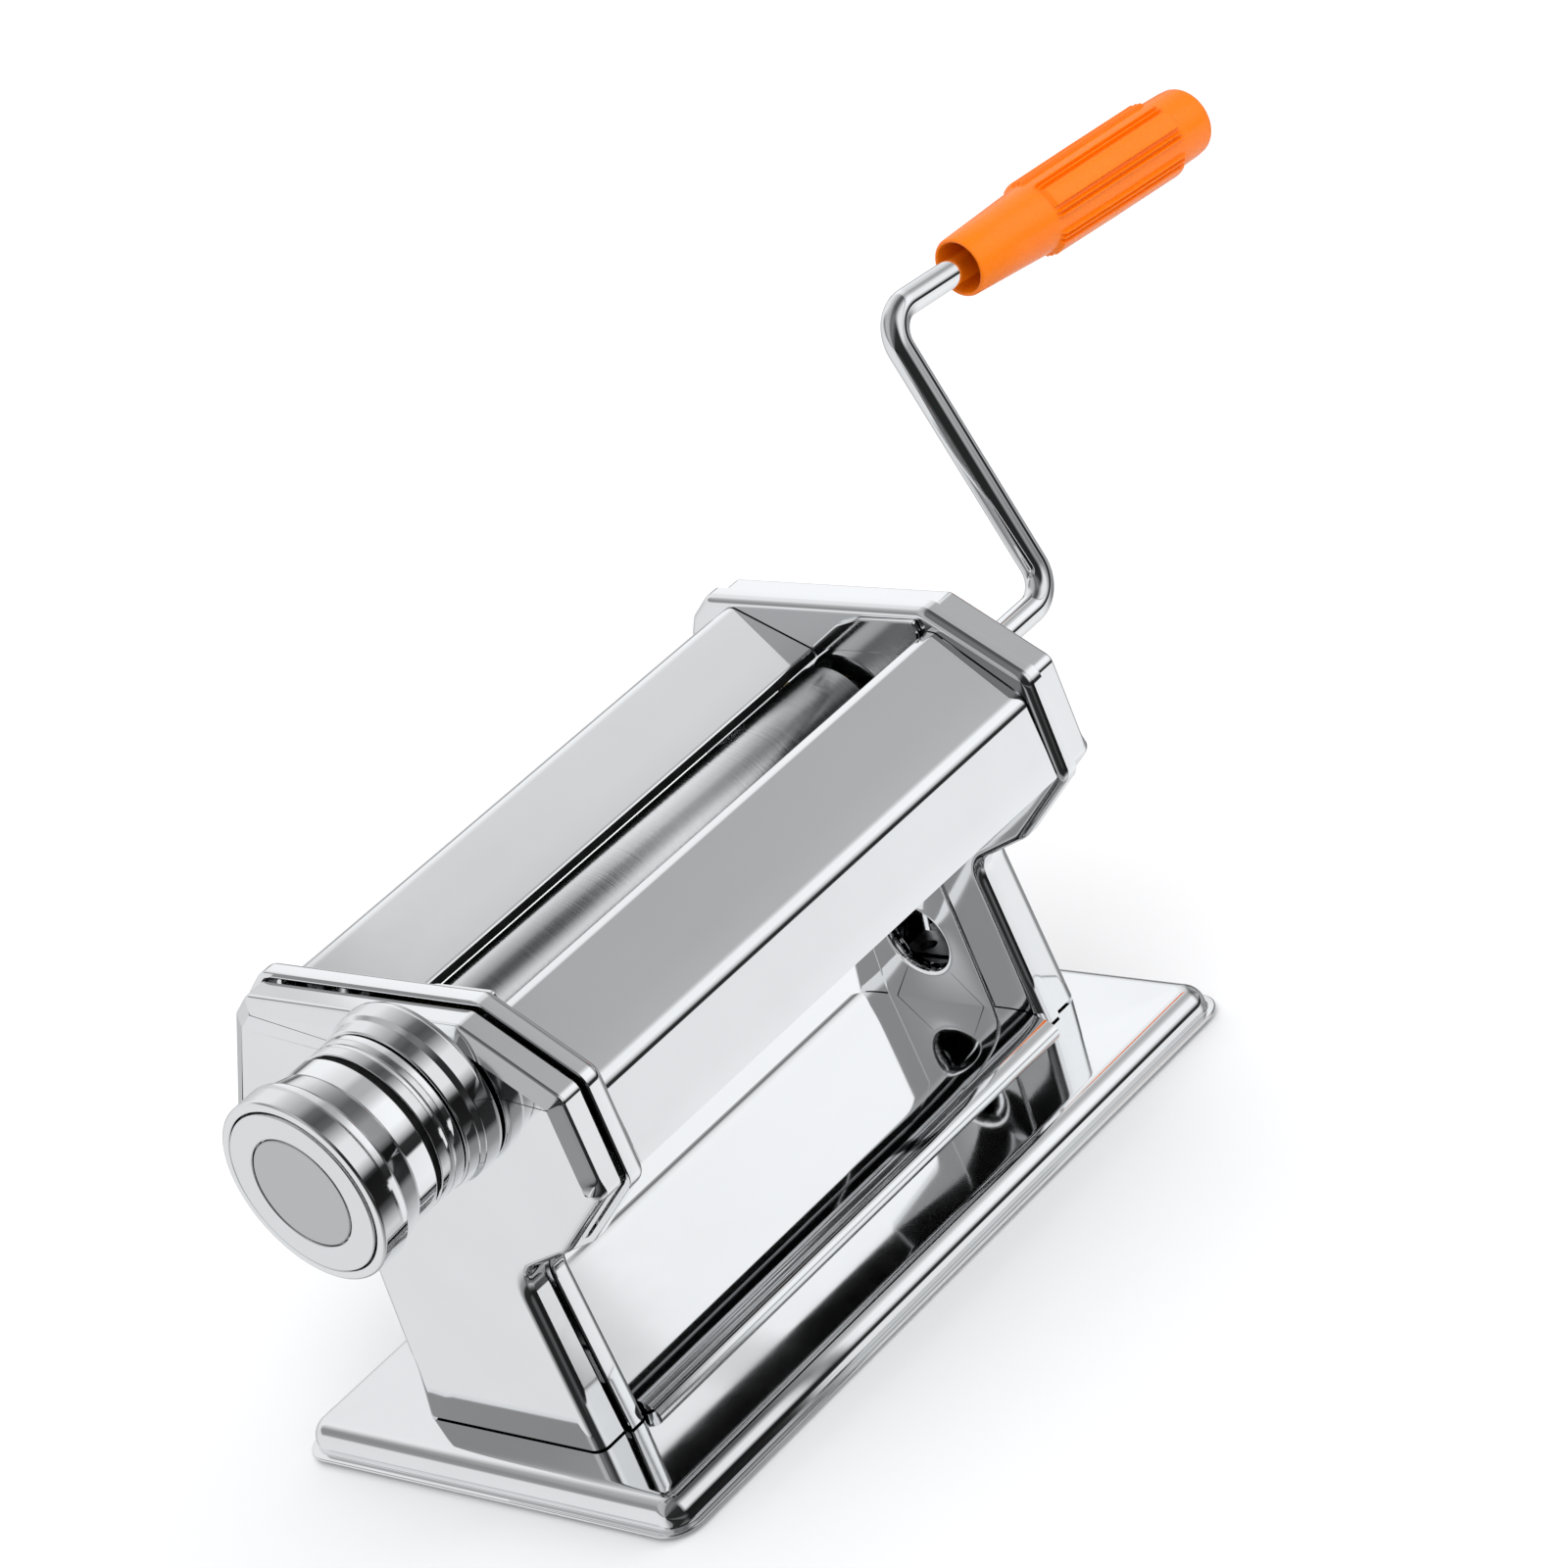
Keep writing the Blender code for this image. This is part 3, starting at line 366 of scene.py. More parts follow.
# ---- stands ----------------------------------------------------------------------------------
# Each stand is two deep-drawn polished shells, mouth to mouth: the inner one faces the
# rollers and shows as a rim round the outer one, which has a raised border and a bevel.
STAND_OUT = 88.3                # outer face, at the housing
STAND_FOOT = 8.5
FOLD_LOW, FOLD_HIGH = 55.5, 63.0        # heights of the two soft folds of the outer face
WAIST_SHIFT, FOOT_SHIFT = -0.35, 0.65   # what the outer face moves out by, folds and foot
HOUSING_START, HOUSING_FADE = 81.5, 4.0     # where the leg turns into the housing
DRIVE_AXIS = (-30.0, 97.0)      # y, z of the roller that the crank turns
ADJUST_AXIS = (-6.0, 97.0)      # y, z of the roller that the dial moves
OUTLINE = [(-30.4, STAND_FOOT, 0.0), (-27.4, 54.0, 7.0), (-46.0, 62.0, 9.0),
           (-66.6, 80.0, 4.6), (-66.2, 106.8, 5.0), (-41.5, 123.4, 4.6), (27.5, 123.4, 4.6),
           (34.5, 117.5, 4.6), (54.0, 83.0, 5.0), (25.0, 55.5, 8.0), (27.6, 22.0, 30.0),
           (30.4, STAND_FOOT, 0.0)]


def outline_loop(corners, closed=True, spacing=1.1, arc_step=5.0):
    """Points and outward normals along a line of corners (y, z, radius).

    Each corner is an arc tangent to its two sides; the sides between are divided evenly.
    """
    count = len(corners)
    pieces = []
    for i, (y, z, radius) in enumerate(corners):
        here = np.array([y, z])
        back = np.array(corners[i - 1][:2]) - here
        ahead = np.array(corners[(i + 1) % count][:2]) - here
        back /= np.linalg.norm(back)
        ahead /= np.linalg.norm(ahead)
        out_back = np.array([back[1], -back[0]])
        out_ahead = np.array([-ahead[1], ahead[0]])
        if not radius:
            side = out_ahead if i == 0 else out_back
            pieces.append((here[None], side[None]))
            continue
        half = math.acos(np.clip(back @ ahead, -1, 1)) / 2
        bow = 1.0 if out_back @ ahead < 0 else -1.0
        centre = here + back * (radius / math.tan(half)) - out_back * radius * bow
        first = math.atan2(out_back[1] * bow, out_back[0] * bow)
        sweep = -bow * (math.pi - 2 * half)
        steps = max(3, int(abs(math.degrees(sweep)) / arc_step))
        angles = first + sweep * np.linspace(0, 1, steps + 1)
        ray = np.stack([np.cos(angles), np.sin(angles)], axis=1)
        pieces.append((centre + ray * radius, ray * bow))
    points, normals = [], []
    for i, (spots, lean) in enumerate(pieces):
        points += list(spots)
        normals += list(lean)
        if not closed and i == count - 1:
            break
        start, end = spots[-1], pieces[(i + 1) % count][0][0]
        along = (end - start) / np.linalg.norm(end - start)
        divisions = max(1, int(np.linalg.norm(end - start) / spacing))
        for k in range(1, divisions):
            points.append(start + (end - start) * k / divisions)
            normals.append(np.array([-along[1], along[0]]))
    return np.array(points), np.array(normals)


edge, outward = outline_loop(OUTLINE)
on_foot = edge[:, 1] < STAND_FOOT + 0.01
upper = np.clip((edge[:, 1] - HOUSING_START) / HOUSING_FADE, 0, 1)
housing = upper * upper * (3 - 2 * upper)          # 1 round the housing, 0 down the leg
# The outer face draws in between the two folds and leans out again down to the foot.
waist = np.clip((FOLD_HIGH - edge[:, 1]) / (FOLD_HIGH - FOLD_LOW), 0, 1)
leg = np.clip((FOLD_LOW - edge[:, 1]) / (FOLD_LOW - STAND_FOOT), 0, 1)
lean_out = WAIST_SHIFT * waist + FOOT_SHIFT * leg


def shell_ring(side, inset, x):
    """Outline of a stand moved in along its normals by inset, at distance x from the middle.

    Points of the foot stay at the foot's height and between its two ends.
    """
    spots = edge - outward * np.broadcast_to(inset, len(edge))[:, None]
    height = np.where(on_foot, STAND_FOOT, np.maximum(spots[:, 1], STAND_FOOT))
    heel = np.argmax(np.where(on_foot, edge[:, 0], -999.0))
    spots[on_foot, 0] = np.clip(spots[on_foot, 0], spots[0, 0], spots[heel, 0])
    return np.stack([side * np.broadcast_to(x, len(edge)), spots[:, 0], height], axis=1)


def drill(piece, holes):
    """Cut round or slotted holes, each (y, z, half width, half height), along X."""
    work = bmesh.new()
    for y, z, half_y, half_z in holes:
        turn = np.linspace(0, 2 * math.pi, 48, endpoint=False)
        slot = max(0.0, half_y - half_z)
        rim = [(y + math.copysign(slot, math.cos(a)) * (slot > 0) + half_z * math.cos(a),
                z + half_z * math.sin(a)) for a in turn]
        ends = [[work.verts.new(Vector((x, a * MM, b * MM)) + Vector(CENTRE)) for a, b in rim]
                for x in (-0.12, 0.12)]
        work.faces.new(ends[0][::-1])
        work.faces.new(ends[1])
        for k in range(len(rim)):
            work.faces.new((ends[0][k], ends[0][k - 1], ends[1][k - 1], ends[1][k]))
    bmesh.ops.recalc_face_normals(work, faces=work.faces)
    data = bpy.data.meshes.new("drill")
    work.to_mesh(data)
    work.free()
    tool = bpy.data.objects.new("drill", data)
    bpy.context.collection.objects.link(tool)
    step = piece.modifiers.new("drill", "BOOLEAN")
    step.object = tool
    step.operation = "DIFFERENCE"
    step.solver = "EXACT"
    shape = bpy.data.meshes.new_from_object(
        piece.evaluated_get(bpy.context.evaluated_depsgraph_get()))
    piece.modifiers.clear()
    piece.data = shape
    bpy.data.objects.remove(tool)
    shape.shade_smooth()
    shape.set_sharp_from_angle(angle=math.radians(30))
    return piece


LEG_HOLE = (0.7, 30.5, 8.9)             # y, z, radius
BORES = [(*LEG_HOLE[:2], 9.3, 9.3),     # y, z, half width, half height: the leg's hole,
         (*DRIVE_AXIS, 6.9, 6.9),       # the drive roller's bush,
         (2.0, 97.0, 12.9, 4.6),        # the slot of the moving roller and its carriage,
         (-50.0, 78.5, 3.3, 3.3), (36.0, 92.0, 3.3, 3.3)]      # and the two tie rods
PANEL = [(-16.6, 6.0, 0.0), (-14.8, 52.0, 5.0), (-24.0, 68.0, 6.0), (-24.0, 84.0, 4.0),
         (18.0, 84.0, 4.0), (15.5, 60.0, 12.0), (19.2, 6.0, 0.0)]
# The panel pressed out of the leg's inner face: (inset from its outline, lift), and then
# the rolled lip of the leg's hole: (radius, lift).
PANEL_STEPS = [(-0.4, -0.25), (0.0, 0.0), (0.35, 0.22), (0.7, 0.44), (1.3, 0.48)]
HOLE_LIP = [(10.9, 0.48), (10.4, 0.62), (9.9, 0.60), (9.3, 0.3), (8.9, -0.4), (8.9, -2.6),
            (9.2, -2.8)]
# Mouths of the two shells, from inside the stand to the start of the outer wall, and the seam
# between them, painted black as shade: (inset from the outline, distance from the middle).
INNER_MOUTH = [(3.2, 76.0), (1.4, 77.6), (1.4, 79.75), (0.15, 79.75), (0.0, 79.6)]
OUTER_MOUTH = [(4.2, 86.6), (3.2, 80.1), (2.3, 80.1), (2.3, 80.55), (1.85, 80.6),
               (1.75, 80.75), (1.75, 81.2)]
SEAM = (80.01, 80.59)
INNER_BEND = 2.3                # bend from the inner shell's wall to its face
WALL_INSET = 1.75               # the outer shell's wall, inside the outline
CREASE, LEG_ROUND = 0.7, 3.0    # radius of the outer edge round the housing, down the leg
BORDER, LEG_BORDER = 3.3, 0.5   # width of the strip inside that edge
BEVEL_DROP = 1.9                # how far the housing's border slopes back
CREASE_TURN = 0.36              # share of a right angle that the crease leaves to the bevel
stand_metal = polished_metal("polished stainless stands", wave=0.008)
# Painted shade: a near-black matt material that stands in for the shadow in the stands' seam and
# in the dial's groove.
painted_shade_black = dull("painted shade black", 300.0, [(0.3, 0.004), (0.7, 0.012)],
                  [(0.3, 0.55), (0.7, 0.75)], 0.1)


def turned(name, axis, stations, sides=96):
    """Shape turned about a line along X: stations are (x, radius) along its section.

    A section that starts or ends at radius 0 closes on the axis; any other closes on
    itself and makes a ring.
    """
    stations = np.array(stations, dtype=float)
    turn = np.linspace(0, 2 * math.pi, sides, endpoint=False)
    grid = np.empty((len(stations), sides, 3))
    grid[..., 0] = stations[:, 0, None]
    grid[..., 1] = axis[0] + stations[:, 1, None] * np.cos(turn)
    grid[..., 2] = axis[1] + stations[:, 1, None] * np.sin(turn)
    ring = stations[0, 1] > 0 and stations[-1, 1] > 0
    return skin(name, grid, close_u=ring, close_v=True)


for side_name, side in (("left", -1), ("right", 1)):
    rings = [shell_ring(side, inset, x) for inset, x in INNER_MOUTH]
    rings += [shell_ring(side, INNER_BEND * (1 - math.cos(b)),
                         STAND_FACE + INNER_BEND * (1 - math.sin(b)))
              for b in np.radians(np.linspace(0, 90, 9))]
    shell = tidy(skin("inner_shell_" + side_name, np.array(rings), close_v=True, caps=(0, -1)))
    drill(shell, BORES)
    panel_edge, panel_out = outline_loop(PANEL, arc_step=6.0)
    steps = []
    for inset, lift in PANEL_STEPS:
        spots = panel_edge - panel_out * inset
        height = np.clip(spots[:, 1], 9.5, 73.9)
        steps.append(np.stack([np.full(len(spots), side * (STAND_FACE - lift)),
                               spots[:, 0], height], axis=1))
    seat = np.arctan2(steps[-1][:, 2] - LEG_HOLE[1], steps[-1][:, 1] - LEG_HOLE[0])
    for radius, lift in HOLE_LIP:
        steps.append(np.stack([np.full(len(seat), side * (STAND_FACE - lift)),
                               LEG_HOLE[0] + radius * np.cos(seat),
                               LEG_HOLE[1] + radius * np.sin(seat)], axis=1))
    panel = tidy(skin("leg_panel_" + side_name, np.array(steps), close_v=True), 50)
    inner = join("stand_inner_skin_" + side_name, shell, panel)
    inner.data.shade_smooth()
    inner.data.set_sharp_from_angle(angle=math.radians(32))
    inner.data.materials.clear()
    inner.data.materials.append(stand_metal)
    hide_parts("stand_inner_" + side_name)

    # The outer shell: a joggled lip that fits the inner one, a side wall, then a crease and
    # a bevel round the housing that fade into a round corner down the leg.
    corner = CREASE * housing + LEG_ROUND * (1 - housing)
    strip = BORDER * housing + LEG_BORDER * (1 - housing)
    drop = BEVEL_DROP * housing
    face = STAND_OUT + lean_out
    rings = [shell_ring(side, inset, x) for inset, x in OUTER_MOUTH]
    rings.append(shell_ring(side, WALL_INSET, face - drop - corner - 0.3))
    for b in np.radians(np.linspace(0, 90, 10)):
        tilt = b * (1 - CREASE_TURN * housing)
        at_crease = WALL_INSET + corner * (1 - np.cos(tilt))
        fall = drop + corner * (1 - np.sin(tilt))
        rings.append(shell_ring(side, at_crease, face - fall))
    for t in (0.25, 0.5, 0.75, 1.0):
        rings.append(shell_ring(side, at_crease + strip * t, face - fall * (1 - t)))
    outer = skin("stand_outer_skin_" + side_name, np.array(rings), close_v=True, caps=(0,))

    # The flat of the outer face is three faces, parted along the two folds.
    last = (len(rings) - 1) * len(edge)
    front_low, front_high = (int(np.argmin(np.abs(edge[:, 1] - z) + 1e3 * (edge[:, 0] > 0)))
                             for z in (FOLD_LOW, FOLD_HIGH))
    back_low, back_high = (int(np.argmin(np.abs(edge[:, 1] - z) + 1e3 * (edge[:, 0] < 0)))
                           for z in (FOLD_LOW, FOLD_HIGH))
    work = bmesh.new()
    work.from_mesh(outer.data)
    work.verts.ensure_lookup_table()
    for run in ([*range(0, front_low + 1), *range(back_low, len(edge))],
                [*range(front_low, front_high + 1), *range(back_high, back_low + 1)],
                range(front_high, back_high + 1)):
        work.faces.new([work.verts[last + k] for k in run])
    work.to_mesh(outer.data)
    work.free()
    tidy(outer, 20)
    outer.data.materials.append(stand_metal)
    outer.data.materials.append(painted_shade_black)
    # The seam's faces take the painted shade black, in place of the shadow that falls in that
    # gap.
    for polygon in outer.data.polygons:
        if SEAM[0] < abs(polygon.center.x - CENTRE[0]) / MM < SEAM[1]:
            polygon.material_index = 1
    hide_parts("stand_outer_" + side_name)
    for piece in (inner, outer):
        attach(piece, "frame")

# ---- covers ----------------------------------------------------------------------------------
# Two folded covers of polished sheet close the housing over the rollers, one behind and one
# in front, and leave the feed mouth between them.
COVER_SHEET = 0.9
COVER_REACH = 74.2
REAR_COVER = [(-2.5, 109.5, 0.0), (-2.1, 111.0, 0.9), (19.4, 121.4, 3.5), (32.0, 114.6, 6.0),
              (50.2, 83.0, 0.0)]
FRONT_COVER = [(-39.6, 113.8, 0.0), (-41.2, 117.9, 1.0), (-43.6, 117.6, 1.2),
               (-63.6, 101.9, 5.0), (-64.6, 81.4, 0.0)]


def folded(name, corners, thickness=COVER_SHEET, reach=COVER_REACH):
    """Sheet folded along a section of corners (y, z, radius) and carried along X.

    Both faces are the section's middle line moved half a thickness along its normals, and
    the two long edges are rounded.
    """
    line, normal = outline_loop(corners[::-1] if corners[0][0] > corners[-1][0] else corners,
                                closed=False, spacing=6.0, arc_step=3.0)
    half = thickness / 2
    ahead = np.stack([normal[:, 1], -normal[:, 0]], axis=1)
    section = list(line + normal * half)
    for k, sign in ((-1, 1), (0, -1)):
        for a in np.radians([45, 90, 135]):
            section.append(line[k] + sign * (normal[k] * math.cos(a) * half
                                             + ahead[k] * math.sin(a) * half))
        if k == -1:
            section += list((line - normal * half)[::-1])
    section = np.array(section)
    grid = np.stack([np.stack([np.full(len(section), x), section[:, 0], section[:, 1]], axis=1)
                     for x in (-reach, reach)])
    return tidy(skin(name, grid, close_v=True, caps=(0, -1)), 25)


cover_metal = polished_metal("polished stainless covers", tone=0.92, rough=(0.05, 0.11),
                             wave=0.010, cloud=6.0)
# Painted shade: the cover faces that look in towards the rollers take a near-black matt material.
# It stands in for the shade under the covers, so the rollers mirror darkness there.
painted_shade_inside = painted_shade_black.copy()
painted_shade_inside.name = "painted shade inside of covers"
between_rollers = Vector((0, (DRIVE_AXIS[0] + ADJUST_AXIS[0]) / 2 * MM,
                          DRIVE_AXIS[1] * MM)) + Vector(CENTRE)
for name, corners in (("rear_cover", REAR_COVER), ("front_cover", FRONT_COVER)):
    cover = folded(name + "_sheet", corners)
    cover.data.materials.append(cover_metal)
    cover.data.materials.append(painted_shade_inside)
    for polygon in cover.data.polygons:
        inwards = between_rollers - polygon.center
        inwards.x = 0
        if polygon.normal.dot(inwards.normalized()) > 0.35:
            polygon.material_index = 1
    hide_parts(name)
    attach(cover, "frame")

# Curved guides at the ends of the mouth keep the dough off the stands.  Each is a plate cut
# to an outline, with its edges eased: (inset from the outline, distance from the middle).
GUIDE_SECTION = [(0.3, 74.2), (0.0, 74.0), (0.0, 73.1), (0.3, 72.8)]
GUIDE = [(-38.2, 112.5, 0.4), (-40.2, 119.2, 1.0), (-39.8, 121.5, 1.0), (-22.0, 121.3, 10.0),
         (-15.0, 119.4, 8.0), (-3.6, 112.5, 0.4)]
for side_name, side in (("left", -1), ("right", 1)):
    line, normal = outline_loop(GUIDE, spacing=1.5)
    rings = [np.stack([np.full(len(line), side * x), *(line - normal * inset).T], axis=1)
             for inset, x in GUIDE_SECTION]
    guide = tidy(skin("guide_plate_" + side_name, np.array(rings), close_v=True, caps=(0, -1)))
    guide.data.materials.append(cover_metal)
    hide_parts("dough_guide_" + side_name)
    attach(guide, "frame")

# ---- rollers ---------------------------------------------------------------------------------
# Two ground steel rollers with fine rings left by the grinding wheel; the front one is
# turned by the crank through a socket in its right end.
ROLLER_RADIUS = 11.85
ROLLER_HALF = 72.0
JOURNAL_RADIUS = 4.0
SOCKET_RADIUS, SOCKET_BORE, SOCKET_BOTTOM = 5.5, 3.8, 78.0
CHAMFER = 0.4


def turned_metal(name, tone, rough, rings, depth, tint=None):
    """Turned or ground metal: fine rings about the X axis in haze and in relief.

    The rings are one noise, sixty times as fine along X as across it.  It sets the haze
    between the two levels of rough, the tone within a sixteenth, and the relief.
    """
    made, tree, shader, coords = new_material(name)
    shader.inputs["Metallic"].default_value = 1.0
    stretch = node(tree, "ShaderNodeMapping", inputs={"Vector": coords,
                                                      "Scale": (rings, rings / 60, rings / 60)})
    grain = node(tree, "ShaderNodeTexNoise", inputs={
        "Vector": stretch.outputs[0], "Scale": 1.0, "Detail": 5.0, "Roughness": 0.65})
    haze = node(tree, "ShaderNodeMapRange", inputs={
        "Value": grain.outputs[0], "From Min": 0.3, "From Max": 0.7,
        "To Min": rough[0], "To Max": rough[1]})
    tree.links.new(haze.outputs[0], shader.inputs["Roughness"])
    colour = ramp(tree, grain.outputs[0], [(0.3, tone * 0.94), (0.7, tone)])
    if tint:
        colour = node(tree, "ShaderNodeMix", data_type="RGBA", blend_type="MULTIPLY",
                      inputs={0: 1.0, 6: colour, 7: (*tint, 1)}).outputs[2]
    tree.links.new(colour, shader.inputs["Base Color"])
    bump = node(tree, "ShaderNodeBump", inputs={
        "Height": grain.outputs[0], "Strength": depth, "Distance": 0.0002})
    tree.links.new(bump.outputs[0], shader.inputs["Normal"])
    return made


roller_metal = turned_metal("ground roller steel", 0.82, (0.13, 0.24), 2600.0, 0.18)
for name, axis, (left, right), radius, node_name, body in (
        ("drive_roller_body", DRIVE_AXIS, (-76.2, 92.0), SOCKET_RADIUS, "drive_roller", "drive"),
        ("second_roller_body", ADJUST_AXIS, (-80.0, 85.6), JOURNAL_RADIUS, "adjust_roller",
         "second_roller")):
    end_edge = [(ROLLER_HALF - 0.9, ROLLER_RADIUS), (ROLLER_HALF - 0.3, 11.5),
                (ROLLER_HALF, 10.9)]
    rows = [(left, 0.0), (left, JOURNAL_RADIUS - CHAMFER), (left + CHAMFER, JOURNAL_RADIUS),
            (-ROLLER_HALF, JOURNAL_RADIUS)]
    rows += [(-x, r) for x, r in end_edge[::-1]] + end_edge
    rows += [(ROLLER_HALF, radius), (right - CHAMFER, radius), (right, radius - CHAMFER)]
    if body == "drive":
        rows += [(right, SOCKET_BORE), (SOCKET_BOTTOM, SOCKET_BORE), (SOCKET_BOTTOM, 0.0)]
    else:
        rows += [(right, 0.0)]
    roller = tidy(turned(name, axis, rows, 128), 32)
    roller.data.materials.append(roller_metal)
    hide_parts(node_name)
    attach(roller, body)

# ---- thickness dial --------------------------------------------------------------------------
# A turned and polished knob: a wide drum with a ringed face, a cone, a waist with a groove
# painted black as shade, and behind it the fixed collar that it clicks against.
DIAL_AXIS = (-25.0, 106.3)
DIAL_SIDES = 144
GROOVE = (-108.55, -106.65)     # the groove of the waist, along X, painted black as shade
GROOVE_RADIUS = 20.0


def rounded_section(corners, bend, steps=5):
    """Section of (x, radius) corners with each inner corner turned into a small arc.

    The arc is a quadratic curve through two points, bend away from the corner or nearer
    where a side is short, with the corner as its control point.
    """
    corners = [np.array(c, dtype=float) for c in corners]
    points = [corners[0]]
    for before, here, after in zip(corners, corners[1:], corners[2:]):
        a, b = before - here, after - here
        reach = min(bend, 0.4 * np.linalg.norm(a), 0.4 * np.linalg.norm(b))
        a, b = here + a / np.linalg.norm(a) * reach, here + b / np.linalg.norm(b) * reach
        t = np.linspace(0, 1, steps)[:, None]
        points += list(a * (1 - t) ** 2 + here * 2 * t * (1 - t) + b * t ** 2)
    points.append(corners[-1])
    return points


knob_metal = polished_metal("polished knob", tone=0.93, rough=(0.03, 0.07), wave=0.004)
face_metal = turned_metal("turned dial face", 0.94, (0.18, 0.28), 60.0, 0.10)
disc_metal = turned_metal("satin dial centre", 0.70, (0.38, 0.5), 60.0, 0.10)
knob_rows = [(-126.0, 12.0), (-126.0, 19.9), (-126.6, 20.1), (-127.5, 20.3), (-127.5, 21.9),
             (-127.0, 22.5), (-120.3, 22.6), (-119.9, 22.2), (-114.9, 20.9), (-114.4, 20.6),
             (-108.6, 20.6), (-108.5, 19.5), (-106.7, 19.5), (-106.6, 20.3), (-103.2, 20.4),
             (-103.0, 20.1), (-102.8, 20.4), (-99.7, 20.4), (-99.4, 20.0), (-99.4, 12.6),
             (-107.5, 12.5), (-107.5, 3.4), (-111.5, 3.4), (-111.5, 12.0)]
knob = tidy(turned("dial_body", DIAL_AXIS, rounded_section(knob_rows, 0.3), DIAL_SIDES), 28)
knob.data.materials.append(knob_metal)
knob.data.materials.append(painted_shade_black)
# Faces in the waist's groove take the painted shade black, for the shade in that recess.
for polygon in knob.data.polygons:
    x, y, z = (np.array(polygon.center) - CENTRE) / MM
    in_groove = math.hypot(y - DIAL_AXIS[0], z - DIAL_AXIS[1]) < GROOVE_RADIUS
    if GROOVE[0] < x < GROOVE[1] and in_groove:
        polygon.material_index = 1
ring = tidy(turned("dial_face", DIAL_AXIS, rounded_section(
    [(-126.5, 13.6), (-127.7, 13.6), (-127.9, 13.9), (-127.9, 19.5), (-127.7, 19.8),
     (-126.5, 19.8)], 0.2), DIAL_SIDES), 28)
ring.data.materials.append(face_metal)
disc = tidy(turned("dial_centre", DIAL_AXIS, rounded_section(
    [(-126.5, 0.0), (-126.5, 13.3), (-127.6, 13.3), (-127.85, 13.0), (-127.85, 0.0)],
    0.2), DIAL_SIDES), 28)
disc.data.materials.append(disc_metal)
collar = tidy(turned("hub_collar_body", DIAL_AXIS, rounded_section(
    [(-88.9, 3.6), (-88.9, 21.6), (-90.2, 22.0), (-94.2, 21.8), (-95.4, 20.9), (-98.6, 20.7),
     (-99.0, 20.4), (-99.0, 17.0), (-96.0, 17.0), (-96.0, 14.0), (-99.0, 14.0), (-99.0, 3.6)],
    0.3), DIAL_SIDES), 28)
collar.data.materials.append(knob_metal)
for piece, body, slot_name, names in (
        (knob, "dial_knob", "polished_shell", ["dial_knob"]),
        (ring, "dial_knob", "satin_metal", ["dial_face_ring"]),
        (disc, "dial_knob", "satin_metal", ["dial_face_disc"]),
        (collar, "frame", "polished_shell", ["hub_collar"])):
    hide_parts(*names)
    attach(piece, body)

# ---- crank -----------------------------------------------------------------------------------
# A polished rod bent twice: a straight end in the roller's socket, an arm, and a straight
# end for the grip.
ROD_RADIUS = 3.4
ARM_X = 125.0
ARM_LENGTH = 75.6
ARM_LEAN = math.radians(15.8)
GRIP_TILT = math.radians(5.0)
BEND_RADIUS = 8.0
ROD_START = 78.4                # x, inside the roller's socket
ROD_REACH = 105.0               # from the arm to the rod's end, inside the grip

arm = np.array([0.0, math.sin(ARM_LEAN), math.cos(ARM_LEAN)])
grip_line = np.array([math.cos(GRIP_TILT), 0, 0]) - arm * math.sin(GRIP_TILT)
low_bend = np.array([ARM_X, *DRIVE_AXIS])
high_bend = low_bend + arm * ARM_LENGTH


def bent(corner, back, ahead, radius=BEND_RADIUS, steps=16):
    """Arc of a circle tangent to two lines that leave a corner along back and ahead.

    Its centre is on the line that halves the corner; its points turn evenly from one
    tangent point to the other.
    """
    half = math.acos(back @ ahead) / 2
    reach = radius / math.tan(half)
    centre = corner + (back + ahead) / np.linalg.norm(back + ahead) * radius / math.sin(half)
    first, last = corner + back * reach - centre, corner + ahead * reach - centre
    total = math.acos(first @ last / radius ** 2)
    t = np.linspace(0, 1, steps)[:, None]
    return centre + (np.sin((1 - t) * total) * first + np.sin(t * total) * last) / math.sin(total)


along_x = np.array([1.0, 0, 0])
route = np.vstack([[ROD_START, *DRIVE_AXIS], bent(low_bend, -along_x, arm),
                   bent(high_bend, -arm, grip_line), high_bend + grip_line * ROD_REACH])
ahead = np.gradient(route, axis=0)
ahead[0], ahead[-1] = route[1] - route[0], route[-1] - route[-2]
ahead /= np.linalg.norm(ahead, axis=1)[:, None]
plane = np.cross(along_x, arm)
across = np.cross(ahead, plane)
turn = np.linspace(0, 2 * math.pi, 40, endpoint=False)
tube = (route[:, None] + ROD_RADIUS * (np.cos(turn)[None, :, None] * across[:, None]
                                       + np.sin(turn)[None, :, None] * plane))
rod_metal = polished_metal("polished crank rod", tone=0.93, rough=(0.03, 0.07), wave=0.006)
rod = tidy(skin("crank_rod_bar", tube, close_v=True, caps=(0, -1)), 40)
rod.data.materials.append(rod_metal)
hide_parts("crank_rod")
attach(rod, "drive")

# The grip is a hollow orange moulding that turns on the rod: a smooth tapered neck, then a
# barrel of raised flats with pairs of thin ribs between them, and a round end.
GRIP_START = 27.5
GRIP_LENGTH = 86.5
RIB_START = 27.0
RIB_END = 74.2
RIB_GROUPS = 4
# One group of ribs: (start, end, height), with start and end as shares of a quarter turn.
RIBS = [(0.05, 0.40, 1.12), (0.455, 0.510, 0.95), (0.545, 0.600, 0.95), (0.850, 0.905, 0.95),
        (0.940, 0.995, 0.95)]
RIB_SIDE, RIB_RUNOUT = 0.018, 0.9       # soft side of a rib, soft end of a rib in mm
TIP_ROUND, TIP_FLAT = 2.6, 6.1

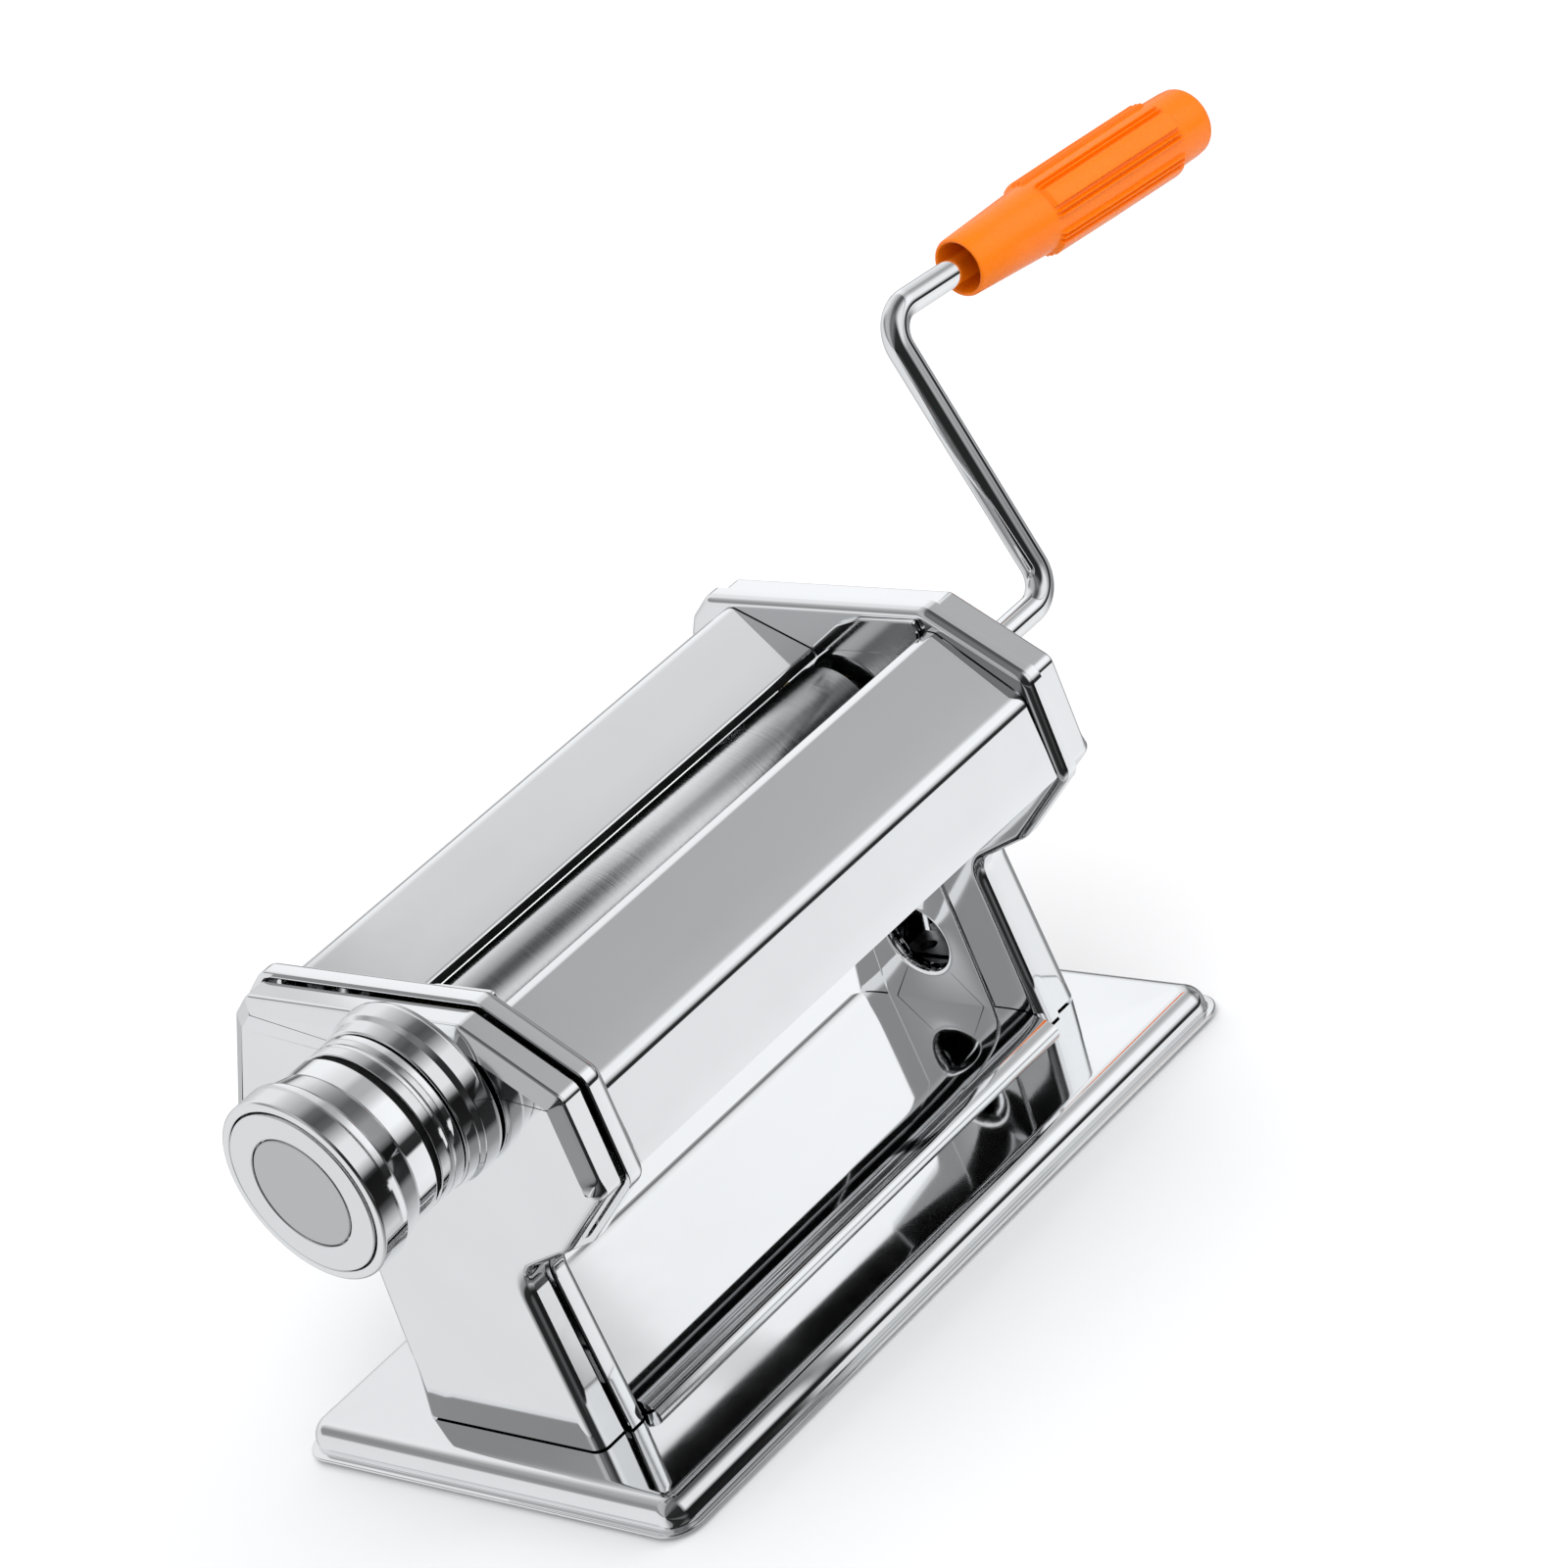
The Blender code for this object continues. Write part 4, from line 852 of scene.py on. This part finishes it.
# Sections of the grip are (distance from its open end, radius).
mouth = np.array([(0.55, 6.3), (0.15, 6.5), (0.0, 6.85), (0.15, 7.2), (0.6, 7.4)])
outside = [(14.0, 8.1), (RIB_START, 8.8), (50.0, 9.0), (RIB_END, 9.05),
           (GRIP_LENGTH - 4.0, 8.85)]
outside += [(GRIP_LENGTH - TIP_ROUND * (1 - math.sin(t)), TIP_FLAT + TIP_ROUND * math.cos(t))
            for t in np.radians(np.linspace(0, 90, 9))]
outside = np.array(outside)
stations = np.unique(np.concatenate([
    outside[:, 0], np.linspace(RIB_START - 1, RIB_START + 2.5, 10),
    np.linspace(RIB_START + 3, RIB_END - 2.5, 12), np.linspace(RIB_END - 2, RIB_END + 1, 10)]))
barrel = np.interp(stations, outside[:, 0], outside[:, 1])
turn = np.linspace(0, 2 * math.pi, 480, endpoint=False)
beat = (turn / (2 * math.pi) * RIB_GROUPS) % 1.0


def step_up(value, start, end, soft):
    """1 between start and end, 0 outside, with straight sides that are soft wide."""
    return np.clip((value - start) / soft, 0, 1) * np.clip((end - value) / soft, 0, 1)


ribs = sum(height * step_up(beat, start, end, RIB_SIDE) for start, end, height in RIBS)
radius = barrel[:, None] + ribs * step_up(stations, RIB_START, RIB_END, RIB_RUNOUT)[:, None]
bore = np.array([(79.0, 0.0), (79.0, 4.6), (74.7, 4.6), (74.7, 3.75), (22.0, 3.75),
                 (19.0, 5.0), (1.2, 6.1)])
distance = np.concatenate([bore[:, 0], mouth[:, 0], stations, [GRIP_LENGTH]])
hollow = np.concatenate([bore[:, 1], mouth[:, 1]])
radius = np.vstack([np.repeat(hollow[:, None], len(turn), axis=1), radius,
                    np.zeros((1, len(turn)))])
sideways = np.cross(grip_line, plane)
open_end = high_bend + grip_line * GRIP_START
grid = (open_end + distance[:, None, None] * grip_line
        + radius[..., None] * (np.cos(turn)[None, :, None] * sideways
                               + np.sin(turn)[None, :, None] * plane))
grip = tidy(skin("grip_body", grid, close_v=True), 35)
orange, tree, shader, coords = new_material("glossy orange moulding")
shader.inputs["Subsurface Weight"].default_value = 0.12
shader.inputs["Subsurface Radius"].default_value = (1.0, 0.35, 0.1)
shader.inputs["Subsurface Scale"].default_value = 0.003
shader.inputs["Specular IOR Level"].default_value = 0.38
cloud = node(tree, "ShaderNodeTexNoise", inputs={"Vector": coords, "Scale": 55.0, "Detail": 3.0})
tint = node(tree, "ShaderNodeMix", data_type="RGBA", inputs={
    0: cloud.outputs[0], 6: (0.90, 0.175, 0.0, 1), 7: (0.94, 0.21, 0.0, 1)})
tree.links.new(tint.outputs[2], shader.inputs["Base Color"])
skin_grain = node(tree, "ShaderNodeTexNoise", inputs={"Vector": coords, "Scale": 900.0,
                                                      "Detail": 4.0})
gloss = node(tree, "ShaderNodeMapRange", inputs={"Value": skin_grain.outputs[0],
                                                 "To Min": 0.20, "To Max": 0.34})
tree.links.new(gloss.outputs[0], shader.inputs["Roughness"])
pebble = node(tree, "ShaderNodeBump", inputs={"Height": skin_grain.outputs[0], "Strength": 0.03,
                                              "Distance": 0.0003})
tree.links.new(pebble.outputs[0], shader.inputs["Normal"])
grip.data.materials.append(orange)
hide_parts("crank_grip")
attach(grip, "grip")

# ---- inner pieces ----------------------------------------------------------------------------
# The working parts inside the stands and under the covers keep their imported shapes: zinc
# plated steel, ground blades, brass blocks and cam, and nylon bushes.
zinc = turned_metal("zinc plated steel", 0.62, (0.28, 0.42), 900.0, 0.10)
blade = turned_metal("ground blade steel", 0.75, (0.16, 0.26), 1800.0, 0.12)
brass = turned_metal("machined brass", 0.60, (0.22, 0.34), 1200.0, 0.10, tint=(1.0, 0.78, 0.42))
shader = brass.node_tree.nodes["Principled BSDF"]
shader.inputs["Specular Tint"].default_value = (1, 0.85, 0.6, 1)
nylon = dull("natural nylon", 120.0, [(0.3, 0.62), (0.7, 0.70)], [(0.3, 0.35), (0.7, 0.5)], 0.5)
finishes = {"steel_parts": zinc, "roller_steel": blade, "brass_parts": brass,
            "bush_nylon": nylon, "foot_rubber": rubber}
slots = {part["node"]: part["material_slot"] for part in frame["record"]["subparts"]}
for name, obj in frame["nodes"].items():
    finish = finishes.get(slots[name])
    if finish is not None:
        for spot in obj.material_slots:
            spot.material = finish
